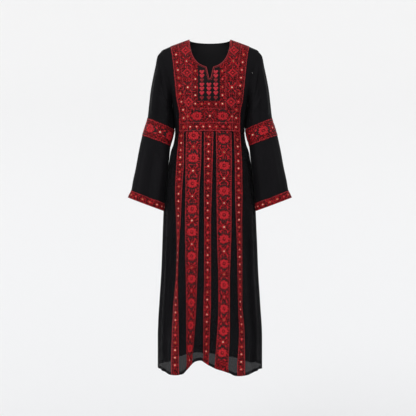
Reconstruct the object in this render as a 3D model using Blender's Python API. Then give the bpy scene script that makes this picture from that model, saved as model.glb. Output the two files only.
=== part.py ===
"""A long embroidered thobe dress in its worn, hollow form.

Metres, +Z up, the front faces -Y and the wearer's right is at -X. The origin is midway between
the outer ends of the two shoulder seams. Each cloth piece is a closed wall: an outer grid of
points, and an inner one a wall thickness inside it. What lies on a panel is made from the
panel's own points, moved out.
"""

import math

import bpy
import numpy as np

WALL = 0.0020
EMBROIDERY_WALL = 0.0015
LAY_GAP = 0.0003
SEAM_GAP = 0.0003
ARMHOLE_GAP = 0.0004

WAIST = -0.3666
HEM = -1.347
BACK_HEM_RISE = 0.034
# Front hem, right to left: degrees round from the middle, height above or below HEM. It rises
# where the deep fold goes in, and sags between the bands and the sides.
FRONT_HEM = (
    (-90.0, 0.000),
    (-62.0, -0.001),
    (-53.0, -0.009),
    (-40.0, -0.007),
    (-28.0, -0.004),
    (-23.0, 0.014),
    (-18.0, 0.031),
    (-13.0, 0.044),
    (-8.0, 0.047),
    (-4.0, 0.039),
    (0.0, 0.028),
    (5.0, 0.017),
    (12.0, 0.010),
    (19.0, 0.002),
    (25.0, -0.007),
    (36.0, -0.009),
    (48.0, -0.009),
    (58.0, -0.001),
    (70.0, 0.002),
    (90.0, 0.000),
)
SLICE_POWER = 2.2
SEAM_TAPER = 0.25
QUARTER = math.pi / 2

# Horizontal slices of the body: height, half width, depth in front, depth behind.
BODY_SLICES = (
    (0.0450, 0.0300, 0.012, 0.024),
    (0.0250, 0.0870, 0.030, 0.058),
    (0.0080, 0.1335, 0.045, 0.066),
    (-0.0086, 0.1756, 0.056, 0.072),
    (-0.0250, 0.2050, 0.065, 0.078),
    (-0.0600, 0.2070, 0.078, 0.088),
    (-0.1000, 0.2030, 0.088, 0.095),
    (-0.1500, 0.1920, 0.100, 0.100),
    (-0.2000, 0.1740, 0.113, 0.098),
    (-0.2450, 0.1600, 0.118, 0.095),
    (-0.3000, 0.1500, 0.110, 0.087),
    (-0.3666, 0.1463, 0.100, 0.080),
    (-0.4120, 0.1525, 0.103, 0.086),
    (-0.4450, 0.1640, 0.107, 0.095),
    (-0.4800, 0.1700, 0.112, 0.104),
    (-0.5600, 0.1810, 0.118, 0.122),
    (-0.6000, 0.1860, 0.122, 0.124),
    (-0.7000, 0.1930, 0.128, 0.126),
    (-0.8150, 0.1974, 0.134, 0.128),
    (-0.9300, 0.2016, 0.140, 0.130),
    (-1.0670, 0.2100, 0.147, 0.137),
    (-1.2180, 0.2184, 0.155, 0.146),
    (-1.3600, 0.2184, 0.160, 0.152),
)

# Edges of the five skirt bands across the front, in mm at each height, from the wearer's right:
# narrow, wide, centre, wide, narrow, each an outer and an inner edge in that order.
BAND_EDGES = (
    (-0.3666, -126.0, -106.4, -97.5, -33.8, -24.1, 14.7, 24.5, 88.1, 97.5, 124.8),
    (-0.4857, -136.0, -106.0, -99.1, -35.3, -24.0, 11.8, 26.4, 89.7, 101.5, 131.2),
    (-0.6076, -141.2, -113.2, -99.0, -42.6, -23.9, 8.1, 26.8, 87.6, 102.2, 133.1),
    (-0.7292, -137.3, -118.6, -100.4, -44.5, -22.7, 4.5, 27.9, 87.5, 105.7, 130.8),
    (-0.8503, -134.1, -126.0, -99.4, -47.3, -22.6, 4.4, 30.3, 84.4, 110.3, 130.1),
    (-0.9712, -138.0, -129.2, -97.3, -51.3, -22.6, 4.4, 34.3, 80.3, 112.2, 129.6),
    (-1.0720, -147.1, -128.2, -96.3, -55.2, -25.4, 4.4, 34.3, 80.2, 114.0, 129.8),
    (-1.1710, -152.0, -125.8, -96.1, -61.1, -25.3, 0.4, 30.2, 80.0, 117.4, 137.5),
    (-1.3100, -156.0, -124.3, -95.8, -73.0, -26.5, -3.6, 20.5, 73.8, 109.5, 140.4),
)
BAND_COLUMNS = (3, 2, 4, 3, 3, 3, 4, 2, 3)
BAND_NAMES = (
    "band_right_narrow",
    "band_right_wide",
    "band_centre",
    "band_left_wide",
    "band_left_narrow",
)
NECK_COLUMN = 5
SLIT_COLUMN = 12
CHEST_COLUMNS = sum(BAND_COLUMNS)

# Main folds of the skirt: angle from the front or back centre in degrees, distance outwards,
# spread in degrees, height where the fold starts, is full, starts to fade, and is gone.
FRONT_FOLDS = (
    (-38.0, 0.022, 9.0, -0.55, -1.20, -9.0, -10.0),
    (-44.5, -0.022, 3.8, -0.60, -0.85, -1.00, -1.30),
    (-11.4, -0.035, 11.0, -0.75, -1.33, -9.0, -10.0),
    (8.0, -0.010, 10.0, -0.95, -1.33, -9.0, -10.0),
    (30.6, 0.018, 11.0, -0.60, -1.20, -9.0, -10.0),
    (-62.0, 0.012, 6.0, -0.45, -0.80, -9.0, -10.0),
    (62.0, 0.012, 6.0, -0.45, -0.80, -9.0, -10.0),
    (-53.0, -0.010, 5.0, -0.50, -1.00, -9.0, -10.0),
    (51.0, -0.014, 5.0, -0.50, -0.90, -9.0, -10.0),
)
BACK_FOLDS = (
    (-58.0, 0.012, 7.0, -0.45, -0.90, -9.0, -10.0),
    (-40.0, -0.014, 7.0, -0.50, -1.10, -9.0, -10.0),
    (-20.0, 0.016, 9.0, -0.60, -1.20, -9.0, -10.0),
    (3.0, -0.018, 9.0, -0.65, -1.25, -9.0, -10.0),
    (26.0, 0.015, 9.0, -0.55, -1.20, -9.0, -10.0),
    (45.0, -0.013, 6.0, -0.50, -1.00, -9.0, -10.0),
    (61.0, 0.012, 6.0, -0.45, -0.90, -9.0, -10.0),
)

# Parts of the way from waist to hem at which the skirt's rows lie.
SKIRT_ROWS = (0.0, 0.045, 0.090, 0.125, 0.196, 0.288, 0.399, 0.521, 0.643, 0.765, 0.881, 1.0)
ROW_CROWDING = 1.5
FRONT_SIDE_COLUMNS = 10
BACK_HALF_COLUMNS = 18
BACK_SHOULDER_COLUMNS = 8
BACK_SEAM_BLEND = 6
EDGE_CROWDING = (-0.265, -0.215)

# Armhole: middle height, half height, and how far it cuts into the body at its middle.
ARMHOLE_MIDDLE = -0.135
ARMHOLE_HALF = 0.110
ARMHOLE_CUT = 0.12
ARMHOLE_STEPS = 12
UNDERARM_ROWS = 4

NECK_HALF_WIDTH = 0.087
NECK_HEIGHT = 0.025
NECK_DROP = 0.130
NECK_POWER = 2.25
BACK_NECK_HEIGHT = 0.0218
SLIT_TOP_HALF = 0.0165
SLIT_BOTTOM_HALF = 0.0050
SLIT_BOTTOM = -0.155
CHEST_TOP_EDGE = 0.165
SHOULDER_END = 0.205

# How far each chest column, from the panel's edge to past the neck point, eases outwards below
# the shoulder, so that the columns meet the neckline at an angle.
NECK_EASE = (0.0, 0.001, 0.002, 0.004, 0.006, 0.009, 0.007, 0.005, 0.003, 0.001)

# How the chest panel widens upwards: part of its height, part of its widening.
CHEST_SPREAD = ((0.0, 0.0), (0.2, 0.0), (0.35, 0.25), (0.6, 0.5), (0.87, 0.78), (1.0, 1.0))

# Rings of the right sleeve: outer end x and z, inner end x and z (x counted outwards), half
# depth front to back, and how far the ring's middle lies forward.
SLEEVE_RINGS = (
    (0.2050, -0.0250, 0.1600, -0.2450, 0.0520, 0.000),
    (0.2195, -0.0440, 0.1600, -0.2540, 0.0560, 0.000),
    (0.2285, -0.0880, 0.1578, -0.2640, 0.0600, 0.001),
    (0.2395, -0.1400, 0.1548, -0.2800, 0.0620, 0.002),
    (0.2485, -0.1920, 0.1513, -0.3020, 0.0620, 0.004),
    (0.2545, -0.2460, 0.1488, -0.3280, 0.0610, 0.006),
    (0.2612, -0.3055, 0.1482, -0.3535, 0.0590, 0.009),
    (0.2715, -0.3420, 0.1550, -0.3870, 0.0575, 0.012),
    (0.2827, -0.3782, 0.1643, -0.4227, 0.0560, 0.015),
    (0.2965, -0.4450, 0.1708, -0.4900, 0.0530, 0.023),
    (0.3080, -0.5120, 0.1792, -0.5600, 0.0510, 0.030),
    (0.3195, -0.5670, 0.1855, -0.6200, 0.0500, 0.035),
    (0.3265, -0.6074, 0.1882, -0.6610, 0.0490, 0.038),
    (0.3398, -0.6371, 0.1905, -0.6931, 0.0480, 0.041),
)
SLEEVE_SEGMENTS = 24
SLEEVE_BLEND_RINGS = 3
ARMBAND_RINGS = (6, 8)
CUFF_RINGS = (12, 13)

PIPING_RADIUS = 0.0012
PIPING_SIDES = 6
PIPING_GAP = 0.0004

# Rows of the lining: height, and how far it hangs inside the dress.
LINING_ROWS = (
    (-0.372, 0.0025),
    (-0.400, 0.0060),
    (-0.440, 0.0080),
    (-0.500, 0.0085),
    (-0.620, 0.0100),
    (-0.820, 0.0130),
    (-1.050, 0.0180),
    (-1.287, 0.0230),
)
LINING_COLUMNS = 32
LINING_FOLD = 0.5
LINING_WALL = 0.0015

BLACK_CLOTH = (0.012, 0.011, 0.014)
LINING_BLACK = (0.009, 0.009, 0.011)
RED_THREAD = (0.300, 0.018, 0.025)
DARK_RED = (0.200, 0.012, 0.018)
PIPING_RED = (0.400, 0.050, 0.055)


def smooth(value):
    """Eases from 0 to 1 as the value goes from 0 to 1."""
    part = np.clip(value, 0.0, 1.0)
    return part * part * (3.0 - 2.0 * part)


def signed_power(value, power):
    return np.sign(value) * np.abs(value) ** power


def unit(vectors):
    return vectors / np.linalg.norm(vectors, axis=-1, keepdims=True)


def dot(left, right):
    return np.sum(left * right, axis=-1, keepdims=True)


class Curve:
    """A smooth line through the points of a short table, with no overshoot between them."""

    def __init__(self, where, value):
        order = np.argsort(where)
        self.where = np.asarray(where, float)[order]
        self.value = np.asarray(value, float)[order]
        step = np.diff(self.where)
        rise = np.diff(self.value) / step
        before = 2.0 * step[1:] + step[:-1]
        after = step[1:] + 2.0 * step[:-1]
        self.slope = np.zeros_like(self.value)
        for index in range(len(rise) - 1):
            if rise[index] * rise[index + 1] > 0:
                total = before[index] / rise[index] + after[index] / rise[index + 1]
                self.slope[index + 1] = (before[index] + after[index]) / total
        self.slope[0] = rise[0]
        self.slope[-1] = rise[-1]

    def __call__(self, where):
        held = np.clip(where, self.where[0], self.where[-1])
        index = np.clip(np.searchsorted(self.where, held) - 1, 0, len(self.where) - 2)
        step = self.where[index + 1] - self.where[index]
        part = (held - self.where[index]) / step
        low = self.value[index]
        high = self.value[index + 1]
        bend = part * part * (3.0 - 2.0 * part)
        lead = part * (1.0 - part) ** 2 * self.slope[index] * step
        tail = part * part * (part - 1.0) * self.slope[index + 1] * step
        return low + (high - low) * bend + lead + tail


SLICE_COLUMNS = np.array(BODY_SLICES).T
HALF_WIDTH = Curve(SLICE_COLUMNS[0], SLICE_COLUMNS[1])
FRONT_DEPTH = Curve(SLICE_COLUMNS[0], SLICE_COLUMNS[2])
BACK_DEPTH = Curve(SLICE_COLUMNS[0], SLICE_COLUMNS[3])
EDGE_COLUMNS = np.array(BAND_EDGES).T
EDGE_CURVES = [Curve(EDGE_COLUMNS[0], column / 1000.0) for column in EDGE_COLUMNS[1:]]
SPREAD_COLUMNS = np.array(CHEST_SPREAD).T
SPREAD = Curve(SPREAD_COLUMNS[0], SPREAD_COLUMNS[1])
HEM_COLUMNS = np.array(FRONT_HEM).T
FRONT_HEM_CURVE = Curve(HEM_COLUMNS[0], HEM_COLUMNS[1])


def fold_out(angle, height, folds):
    """How far the folds of a table push the cloth out at an angle and a height."""
    degrees = np.degrees(angle)
    total = np.zeros(np.broadcast(angle, height).shape)
    for centre, out, spread, start, full, fade, gone in folds:
        grown = smooth((start - height) / (start - full))
        left = 1.0 - smooth((fade - height) / (fade - gone))
        total = total + out * grown * left * np.exp(-0.5 * ((degrees - centre) / spread) ** 2)
    return total * smooth(np.abs(np.cos(angle)) / SEAM_TAPER)


def body_point(angle, height, side, inset=0.0, fold_part=1.0):
    """A point of the body: side is -1 for the front and 1 for the back."""
    depth = FRONT_DEPTH(height) if side < 0 else BACK_DEPTH(height)
    folds = FRONT_FOLDS if side < 0 else BACK_FOLDS
    power = 2.0 / SLICE_POWER
    across = (HALF_WIDTH(height) - inset) * signed_power(np.sin(angle), power)
    away = (depth - inset) * signed_power(np.cos(angle), power)
    away = away + fold_part * fold_out(angle, height, folds)
    return np.stack([across, side * away, height + 0.0 * angle], axis=-1)


def body_normal(angle, height, side):
    """Outward direction of the body at an angle and a height."""
    turn = 0.002
    rise = 0.0005
    over = body_point(angle + turn, height, side) - body_point(angle - turn, height, side)
    up = body_point(angle, height + rise, side) - body_point(angle, height - rise, side)
    return unit(-side * np.cross(over, up))


def angle_of(across, height):
    """Angle of the point of a slice that lies this far across."""
    part = np.clip(np.abs(across) / HALF_WIDTH(height), 0.0, 1.0)
    return np.sign(across) * np.arcsin(part ** (SLICE_POWER / 2.0))


def seam_height(across):
    """Height of the shoulder seam at a distance from the middle."""
    heights = np.linspace(NECK_HEIGHT, ARMHOLE_MIDDLE + ARMHOLE_HALF, 400)
    return np.interp(across, HALF_WIDTH(heights), heights)


def boundary(height):
    """Outer edge of a body panel: side seam, then armhole, then straight up from the shoulder."""
    part = 1.0 - ((height - ARMHOLE_MIDDLE) / ARMHOLE_HALF) ** 2
    edge = HALF_WIDTH(height) * (1.0 - ARMHOLE_CUT * np.maximum(0.0, part))
    return np.where(height > ARMHOLE_MIDDLE + ARMHOLE_HALF, SHOULDER_END, edge)


def hem_height(angle, side):
    """Height of the hem: a waved line in front, higher in the middle of the back."""
    if side < 0:
        return HEM + FRONT_HEM_CURVE(np.degrees(angle))
    return HEM + BACK_HEM_RISE * np.cos(angle) ** 2


def middle_steps():
    """Parts of the way from the waist to the top at which an inner column's rows lie."""
    even = np.linspace(0.0, 1.0, UNDERARM_ROWS + ARMHOLE_STEPS + 1)
    return 1.0 - (1.0 - even) ** ROW_CROWDING


def edge_steps():
    """The same for the panel's outer edge, whose upper rows lie on the armhole's points."""
    swing = math.pi * np.arange(ARMHOLE_STEPS + 1) / ARMHOLE_STEPS
    armhole = ARMHOLE_MIDDLE - ARMHOLE_HALF * np.cos(swing)
    side = np.linspace(WAIST, armhole[0], UNDERARM_ROWS + 1)[:-1]
    heights = np.concatenate([side, armhole])
    return (heights - WAIST) / (heights[-1] - WAIST)


def skirt_steps():
    return 1.0 - np.array(SKIRT_ROWS[::-1])


def joined(skirt, upper):
    """A whole column from its skirt part and the part above the waist."""
    return np.concatenate([skirt, upper[1:]])


def front_side(edge_across):
    """Angles and heights of the columns between the side seam and the chest panel's edge.

    edge_across gives the distance across of the chest panel's edge, or the band's, at a height.
    """
    angles = []
    heights = []
    hem_edge = angle_of(edge_across(HEM), HEM)
    for index in range(FRONT_SIDE_COLUMNS):
        part = index / FRONT_SIDE_COLUMNS
        low = hem_height(QUARTER - (QUARTER - hem_edge) * part, -1)
        skirt_height = low + (WAIST - low) * skirt_steps()
        skirt_edge = angle_of(edge_across(skirt_height), skirt_height)
        skirt_angle = QUARTER - (QUARTER - skirt_edge) * part
        top = seam_height(SHOULDER_END - (SHOULDER_END - CHEST_TOP_EDGE) * part)
        steps = edge_steps() + (middle_steps() - edge_steps()) * smooth(part)
        height = WAIST + (top - WAIST) * steps
        low_crowd, high_crowd = EDGE_CROWDING
        crowd = 2.0 - smooth((height - low_crowd) / (high_crowd - low_crowd))
        edge = boundary(height)
        angle = angle_of(edge - (edge - edge_across(height)) * part**crowd, height)
        angle[-1] = QUARTER
        if index == 0:
            angle[: UNDERARM_ROWS + 1] = QUARTER
        angles.append(joined(skirt_angle, angle))
        heights.append(joined(skirt_height, height))
    return np.array(angles).T, np.array(heights).T


def band_across(height):
    """Distances across of all columns between the chest panel's edges, at each height."""
    edges = [curve(height) for curve in EDGE_CURVES]
    columns = []
    for index, count in enumerate(BAND_COLUMNS):
        for step in range(count):
            columns.append(edges[index] + (edges[index + 1] - edges[index]) * step / count)
    columns.append(edges[-1])
    return np.array(columns)


def neckline():
    """Top ends of the chest columns: distance across and height, from the wearer's right."""
    across = []
    height = []
    for index in range(NECK_COLUMN):
        here = CHEST_TOP_EDGE - (CHEST_TOP_EDGE - NECK_HALF_WIDTH) * index / NECK_COLUMN
        across.append(-here)
        height.append(float(seam_height(here)))
    power = 2.0 / NECK_POWER
    last = math.acos((SLIT_TOP_HALF / NECK_HALF_WIDTH) ** (1.0 / power))
    for index in range(SLIT_COLUMN - NECK_COLUMN + 1):
        swing = last * index / (SLIT_COLUMN - NECK_COLUMN)
        across.append(-NECK_HALF_WIDTH * math.cos(swing) ** power)
        height.append(NECK_HEIGHT - NECK_DROP * math.sin(swing) ** power)
    across.append(-SLIT_BOTTOM_HALF)
    height.append(SLIT_BOTTOM)
    across = np.array(across + [-value for value in across[::-1]])
    return across, np.array(height + height[::-1])


def front_grid():
    """Angles and heights of the front panel's points, rows from hem to top."""
    top_across, top_height = neckline()
    steps = middle_steps()
    low_across = band_across(HEM)
    waist_across = band_across(WAIST)
    angles = []
    heights = []
    for index in range(CHEST_COLUMNS + 1):
        low = hem_height(angle_of(low_across[index], HEM), -1)
        skirt_height = low + (WAIST - low) * skirt_steps()
        skirt_across = band_across(skirt_height)[index]
        height = WAIST + (top_height[index] - WAIST) * steps
        across = waist_across[index] + (top_across[index] - waist_across[index]) * SPREAD(steps)
        from_edge = min(index, CHEST_COLUMNS - index)
        if from_edge < len(NECK_EASE):
            ease = NECK_EASE[from_edge] * steps**4 * np.sqrt(1.0 - steps) / 0.207
            across = across + np.sign(top_across[index]) * ease
        angle = angle_of(across, height)
        if index <= NECK_COLUMN or index >= CHEST_COLUMNS - NECK_COLUMN:
            angle[-1] = QUARTER * np.sign(across[-1])
        angles.append(joined(angle_of(skirt_across, skirt_height), angle))
        heights.append(joined(skirt_height, height))
    chest_angle = np.array(angles).T
    chest_height = np.array(heights).T

    def edge_across(column):
        waist = abs(waist_across[column])
        top = abs(top_across[column])

        def across(height):
            up = (height - WAIST) / (top_height[column] - WAIST)
            above = waist + (top - waist) * SPREAD(up)
            below = np.abs(EDGE_CURVES[0 if column == 0 else -1](height))
            return np.where(height < WAIST, below, above)

        return across

    right_angle, right_height = front_side(edge_across(0))
    left_angle, left_height = front_side(edge_across(CHEST_COLUMNS))
    angle = np.concatenate([-right_angle, chest_angle, left_angle[:, ::-1]], axis=1)
    height = np.concatenate([right_height, chest_height, left_height[:, ::-1]], axis=1)
    return angle, height


def back_grid():
    """Angles and heights of the back panel's points, rows from hem to top."""
    power = 2.0 / SLICE_POWER
    angles = []
    heights = []
    for index in range(2 * BACK_HALF_COLUMNS + 1):
        from_edge = BACK_HALF_COLUMNS - abs(index - BACK_HALF_COLUMNS)
        sign = 1.0 if index > BACK_HALF_COLUMNS else -1.0
        skirt_turn = QUARTER * (1.0 - from_edge / BACK_HALF_COLUMNS)
        if from_edge <= BACK_SHOULDER_COLUMNS:
            part = from_edge / BACK_SHOULDER_COLUMNS
            top_across = SHOULDER_END - (SHOULDER_END - NECK_HALF_WIDTH) * part
            top = float(seam_height(top_across))
        else:
            past = from_edge - BACK_SHOULDER_COLUMNS
            part = past / (BACK_HALF_COLUMNS - BACK_SHOULDER_COLUMNS)
            top_across = NECK_HALF_WIDTH * math.cos(QUARTER * part)
            top = NECK_HEIGHT - (NECK_HEIGHT - BACK_NECK_HEIGHT) * math.sin(QUARTER * part) ** 2
        low = hem_height(sign * skirt_turn, 1)
        skirt_height = low + (WAIST - low) * skirt_steps()
        skirt_angle = np.full(len(skirt_height), sign * skirt_turn)
        inner = smooth(from_edge / BACK_SEAM_BLEND)
        steps = edge_steps() + (middle_steps() - edge_steps()) * inner
        height = WAIST + (top - WAIST) * steps
        waist_part = math.sin(skirt_turn) ** power
        top_part = top_across / SHOULDER_END
        across = boundary(height) * (waist_part + (top_part - waist_part) * steps)
        angle = sign * angle_of(across, height)
        if from_edge <= BACK_SHOULDER_COLUMNS:
            angle[-1] = sign * QUARTER
        if from_edge == 0:
            angle[: UNDERARM_ROWS + 1] = sign * QUARTER
        angles.append(joined(skirt_angle, angle))
        heights.append(joined(skirt_height, height))
    return np.array(angles).T, np.array(heights).T


def panel_walls(angle, height, side):
    """Outer points and outward directions of a body panel, with its seams on one plane."""
    points = body_point(angle, height, side)
    normals = body_normal(angle, height, side)
    seam = np.isclose(np.abs(angle), QUARTER)
    points[seam, 1] = side * SEAM_GAP / 2.0
    normals[seam, 1] = 0.0
    return points, unit(normals)


def sleeve_ellipses():
    """Points of the right sleeve's rings, before they meet the armhole."""
    swing = 2.0 * math.pi * np.arange(SLEEVE_SEGMENTS) / SLEEVE_SEGMENTS
    rings = []
    for outer_x, outer_z, inner_x, inner_z, depth, forward in SLEEVE_RINGS:
        middle = np.array([-(outer_x + inner_x) / 2, -forward, (outer_z + inner_z) / 2])
        reach = np.array([-(outer_x - inner_x) / 2, 0.0, (outer_z - inner_z) / 2])
        toward = np.array([0.0, -depth, 0.0])
        rings.append(middle + np.outer(np.cos(swing), reach) + np.outer(np.sin(swing), toward))
    return np.array(rings)


def armhole_rows():
    """Rows of a body panel's outer column that lie on the armhole, from the underarm up."""
    first = len(SKIRT_ROWS) - 1 + UNDERARM_ROWS
    return np.arange(first, first + ARMHOLE_STEPS + 1)


def armhole_frames(front, back):
    """Points and body directions round the right armhole, from the shoulder by the front."""
    rows = armhole_rows()
    points = np.concatenate([front[0][rows[::-1], 0], back[0][rows[1:-1], 0]])
    normals = np.concatenate([front[1][rows[::-1], 0], back[1][rows[1:-1], 0]])
    return points, normals


def right_sleeve(front, back):
    """Outer and inner points of the right sleeve, and inner armhole points of the body."""
    holes, body_out = armhole_frames(front, back)
    centred = holes.copy()
    centred[[0, ARMHOLE_STEPS], 1] = 0.0
    rings = sleeve_ellipses()
    away = centred - rings[0]
    for index in range(SLEEVE_BLEND_RINGS):
        rings[index] += away * (1.0 - smooth(index / SLEEVE_BLEND_RINGS))
    along = unit(np.roll(centred, -1, axis=0) - np.roll(centred, 1, axis=0))
    into_sleeve = rings[1] - rings[0]
    into_sleeve = unit(into_sleeve - dot(into_sleeve, along) * along)
    into_body = np.cross(along, body_out)
    inward = np.sign(dot(into_body, np.array([1.0, 0.0, 0.0])))
    low = np.abs(into_body[:, :1]) < 0.05
    inward = np.where(low, -np.sign(into_body[:, 2:3]), inward)
    into_body = unit(inward * into_body)
    apart = unit(into_sleeve - into_body + np.array([-0.05, 0.0, 0.0]))
    sleeve_out = np.cross(into_sleeve, along)
    centre = rings[1].mean(axis=0)
    sleeve_out = unit(sleeve_out * np.sign(dot(sleeve_out, rings[0] - centre)))
    turn = np.arccos(np.clip(-dot(into_sleeve, into_body), -1.0, 1.0))
    convex = dot(into_sleeve, body_out) < 0
    shift = np.where(convex, np.minimum(np.tan(turn / 2.0), 1.0), 0.0)
    body_inner = holes - WALL * body_out + WALL * shift * into_body
    body_inner[[0, ARMHOLE_STEPS], 1] = holes[[0, ARMHOLE_STEPS], 1]
    rings[0] = centred + ARMHOLE_GAP * apart
    around = np.roll(rings, -1, axis=1) - np.roll(rings, 1, axis=1)
    down = np.gradient(rings, axis=0)
    outward = unit(np.cross(down, around))
    outward[0] = sleeve_out
    inner = rings - WALL * outward
    inner[0] = rings[0] - WALL * sleeve_out + WALL * shift * into_sleeve
    return rings, outward, inner, body_inner


def body_inner_points(walls, armhole_inner, side):
    """Inner points of a body panel, with its armhole edges cut to meet the sleeves."""
    points, normals = walls
    inner = points - WALL * normals
    rows = armhole_rows()
    if side < 0:
        edge = armhole_inner[ARMHOLE_STEPS::-1].copy()
    else:
        edge = np.concatenate([armhole_inner[ARMHOLE_STEPS:], armhole_inner[:1]])
    edge[[0, -1], 1] = side * SEAM_GAP / 2.0
    inner[rows, 0] = edge
    inner[rows, -1] = edge * np.array([-1.0, 1.0, 1.0])
    return inner


def short_diagonals(points, around=False):
    """True for each cell of a grid whose diagonal from low left to high right is the shorter."""
    following = np.roll(points, -1, axis=1) if around else points[:, 1:]
    start = points if around else points[:, :-1]
    rising = np.linalg.norm(following[1:] - start[:-1], axis=-1)
    falling = np.linalg.norm(start[1:] - following[:-1], axis=-1)
    return rising <= falling + 1e-6


def grid_faces(columns, around, start, flipped, rising):
    """Triangles over a grid of points; rising tells which diagonal splits each cell."""
    faces = []
    for row, cells in enumerate(rising):
        for column, rises in enumerate(cells):
            following = (column + 1) % columns
            low_left = start + row * columns + column
            low_right = start + row * columns + following
            high_left = start + (row + 1) * columns + column
            high_right = start + (row + 1) * columns + following
            if rises:
                faces.append((low_left, low_right, high_right))
                faces.append((low_left, high_right, high_left))
            else:
                faces.append((low_left, low_right, high_left))
                faces.append((low_right, high_right, high_left))
    if flipped:
        faces = [face[::-1] for face in faces]
    return faces


def rim_faces(outer_edge, inner_edge, around):
    """Triangles that join an outer edge to the inner edge beside it."""
    faces = []
    count = len(outer_edge)
    for index in range(count if around else count - 1):
        following = (index + 1) % count
        faces.append((outer_edge[index], inner_edge[index], inner_edge[following]))
        faces.append((outer_edge[index], inner_edge[following], outer_edge[following]))
    return faces


def material(name, colour, roughness):
    made = bpy.data.materials.new(name)
    made.use_nodes = True
    shader = made.node_tree.nodes["Principled BSDF"]
    shader.inputs["Base Color"].default_value = (*colour, 1.0)
    shader.inputs["Roughness"].default_value = roughness
    made.diffuse_color = (*colour, 1.0)
    return made


def solid(name, points, faces, colour, roughness=0.85):
    """Makes one closed body whose faces point outwards."""
    points = np.asarray(points, float)
    corners = points[np.array(faces)]
    volume = np.einsum("ij,ij->i", corners[:, 0], np.cross(corners[:, 1], corners[:, 2])).sum()
    if volume < 0:
        faces = [face[::-1] for face in faces]
    mesh = bpy.data.meshes.new(name)
    mesh.from_pydata(points.tolist(), [], faces)
    mesh.validate()
    mesh.materials.append(material(name, colour, roughness))
    made = bpy.data.objects.new(name, mesh)
    bpy.context.scene.collection.objects.link(made)
    return made


def wall_solid(name, outer, inner, colour, rising, around=False):
    """A closed wall between two grids of the same size."""
    rows, columns = outer.shape[:2]
    count = rows * columns
    index = np.arange(count).reshape(rows, columns)
    faces = grid_faces(columns, around, 0, False, rising)
    faces += grid_faces(columns, around, count, True, rising)
    faces += rim_faces(index[0], index[0] + count, around)
    faces += rim_faces(index[-1][::-1], index[-1][::-1] + count, around)
    if not around:
        faces += rim_faces(index[::-1, 0], index[::-1, 0] + count, False)
        faces += rim_faces(index[:, -1], index[:, -1] + count, False)
    points = np.concatenate([outer.reshape(-1, 3), inner.reshape(-1, 3)])
    return solid(name, points, faces, colour)


def bodice_and_skirt(side, outer, inner, rising):
    """The two walls of one side of the dress, parted at the waist by the seam gap."""
    waist_row = len(SKIRT_ROWS) - 1
    for name, rows, cells, edge, lift in (
        ("skirt", slice(0, waist_row + 1), slice(0, waist_row), -1, -SEAM_GAP / 2.0),
        ("bodice", slice(waist_row, None), slice(waist_row, None), 0, SEAM_GAP / 2.0),
    ):
        walls = [outer[rows].copy(), inner[rows].copy()]
        for points in walls:
            points[edge, :, 2] += lift
        wall_solid(f"{side}_{name}", *walls, BLACK_CLOTH, rising[cells])


def laid_on(name, points, normals, colour, rising, around=False):
    """A thin embroidered layer made from a panel's own points, moved out."""
    inner = points + LAY_GAP * normals
    outer = points + (LAY_GAP + EMBROIDERY_WALL) * normals
    return wall_solid(name, outer, inner, colour, rising, around)


def mirrored(points):
    return points * np.array([-1.0, 1.0, 1.0])


def chest_and_bands(points, normals, rising, colours):
    """The chest panel and the five skirt bands, from the front panel's points."""
    first = FRONT_SIDE_COLUMNS
    waist_row = len(SKIRT_ROWS) - 1
    chest = slice(first, first + CHEST_COLUMNS + 1)
    cells = slice(first, first + CHEST_COLUMNS)
    chest_points = points[waist_row:, chest]
    chest_normals = normals[waist_row:, chest]
    laid_on("chest_panel", chest_points, chest_normals, colours[0], rising[waist_row:, cells])
    low_points = points[: waist_row + 1].copy()
    down = unit(low_points[waist_row - 1] - low_points[waist_row])
    low_points[waist_row] += 2.0 * LAY_GAP * down
    starts = np.concatenate([[0], np.cumsum(BAND_COLUMNS)])
    for index, name in enumerate(BAND_NAMES):
        left = first + starts[2 * index]
        right = first + starts[2 * index + 1]
        band_points = low_points[:, left : right + 1]
        band_normals = normals[: waist_row + 1, left : right + 1]
        laid_on(name, band_points, band_normals, colours[index % 2], rising[:waist_row, left:right])


def piping(points, normals):
    """The cord along the front neckline and the slit, just inside the opening."""
    first = FRONT_SIDE_COLUMNS + NECK_COLUMN
    last = FRONT_SIDE_COLUMNS + CHEST_COLUMNS - NECK_COLUMN
    edge = points[-1, first : last + 1]
    out = normals[-1, first : last + 1]
    middle = edge + (LAY_GAP + EMBROIDERY_WALL - WALL) / 2.0 * out
    ahead = unit(np.diff(middle, axis=0))
    before = np.concatenate([ahead[:1], ahead])
    after = np.concatenate([ahead, ahead[-1:]])
    into_hole = unit(np.cross(out, before))
    into_hole_next = unit(np.cross(out, after))
    inward = np.sign(into_hole[0, 0]) * -np.sign(middle[0, 0])
    bisector = unit(inward * (into_hole + into_hole_next))
    stretch = 1.0 / np.maximum(dot(bisector, inward * into_hole), 0.5)
    centre = middle + (PIPING_RADIUS + PIPING_GAP) * stretch * bisector
    centre[0] += 0.0020 * unit(centre[1] - centre[0])
    centre[-1] += 0.0020 * unit(centre[-2] - centre[-1])
    along = unit(before + after)
    side = unit(np.cross(along, out))
    lift = unit(np.cross(side, along))
    turn = 2.0 * math.pi * np.arange(PIPING_SIDES) / PIPING_SIDES
    ring = np.stack([np.cos(turn), np.sin(turn)], axis=-1)
    width = PIPING_RADIUS * np.minimum(stretch, 1.3)
    rings = centre[:, None] + ring[None, :, :1] * (width * side)[:, None]
    rings = rings + ring[None, :, 1:] * (PIPING_RADIUS * lift)[:, None]
    rows, columns = rings.shape[:2]
    faces = grid_faces(columns, True, 0, False, short_diagonals(rings, True))
    closing = (rows - 1) * columns
    for index in range(1, columns - 1):
        faces.append((0, index + 1, index))
        faces.append((closing, closing + index, closing + index + 1))
    solid("neck_piping", rings.reshape(-1, 3), faces, PIPING_RED, 0.6)


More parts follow.
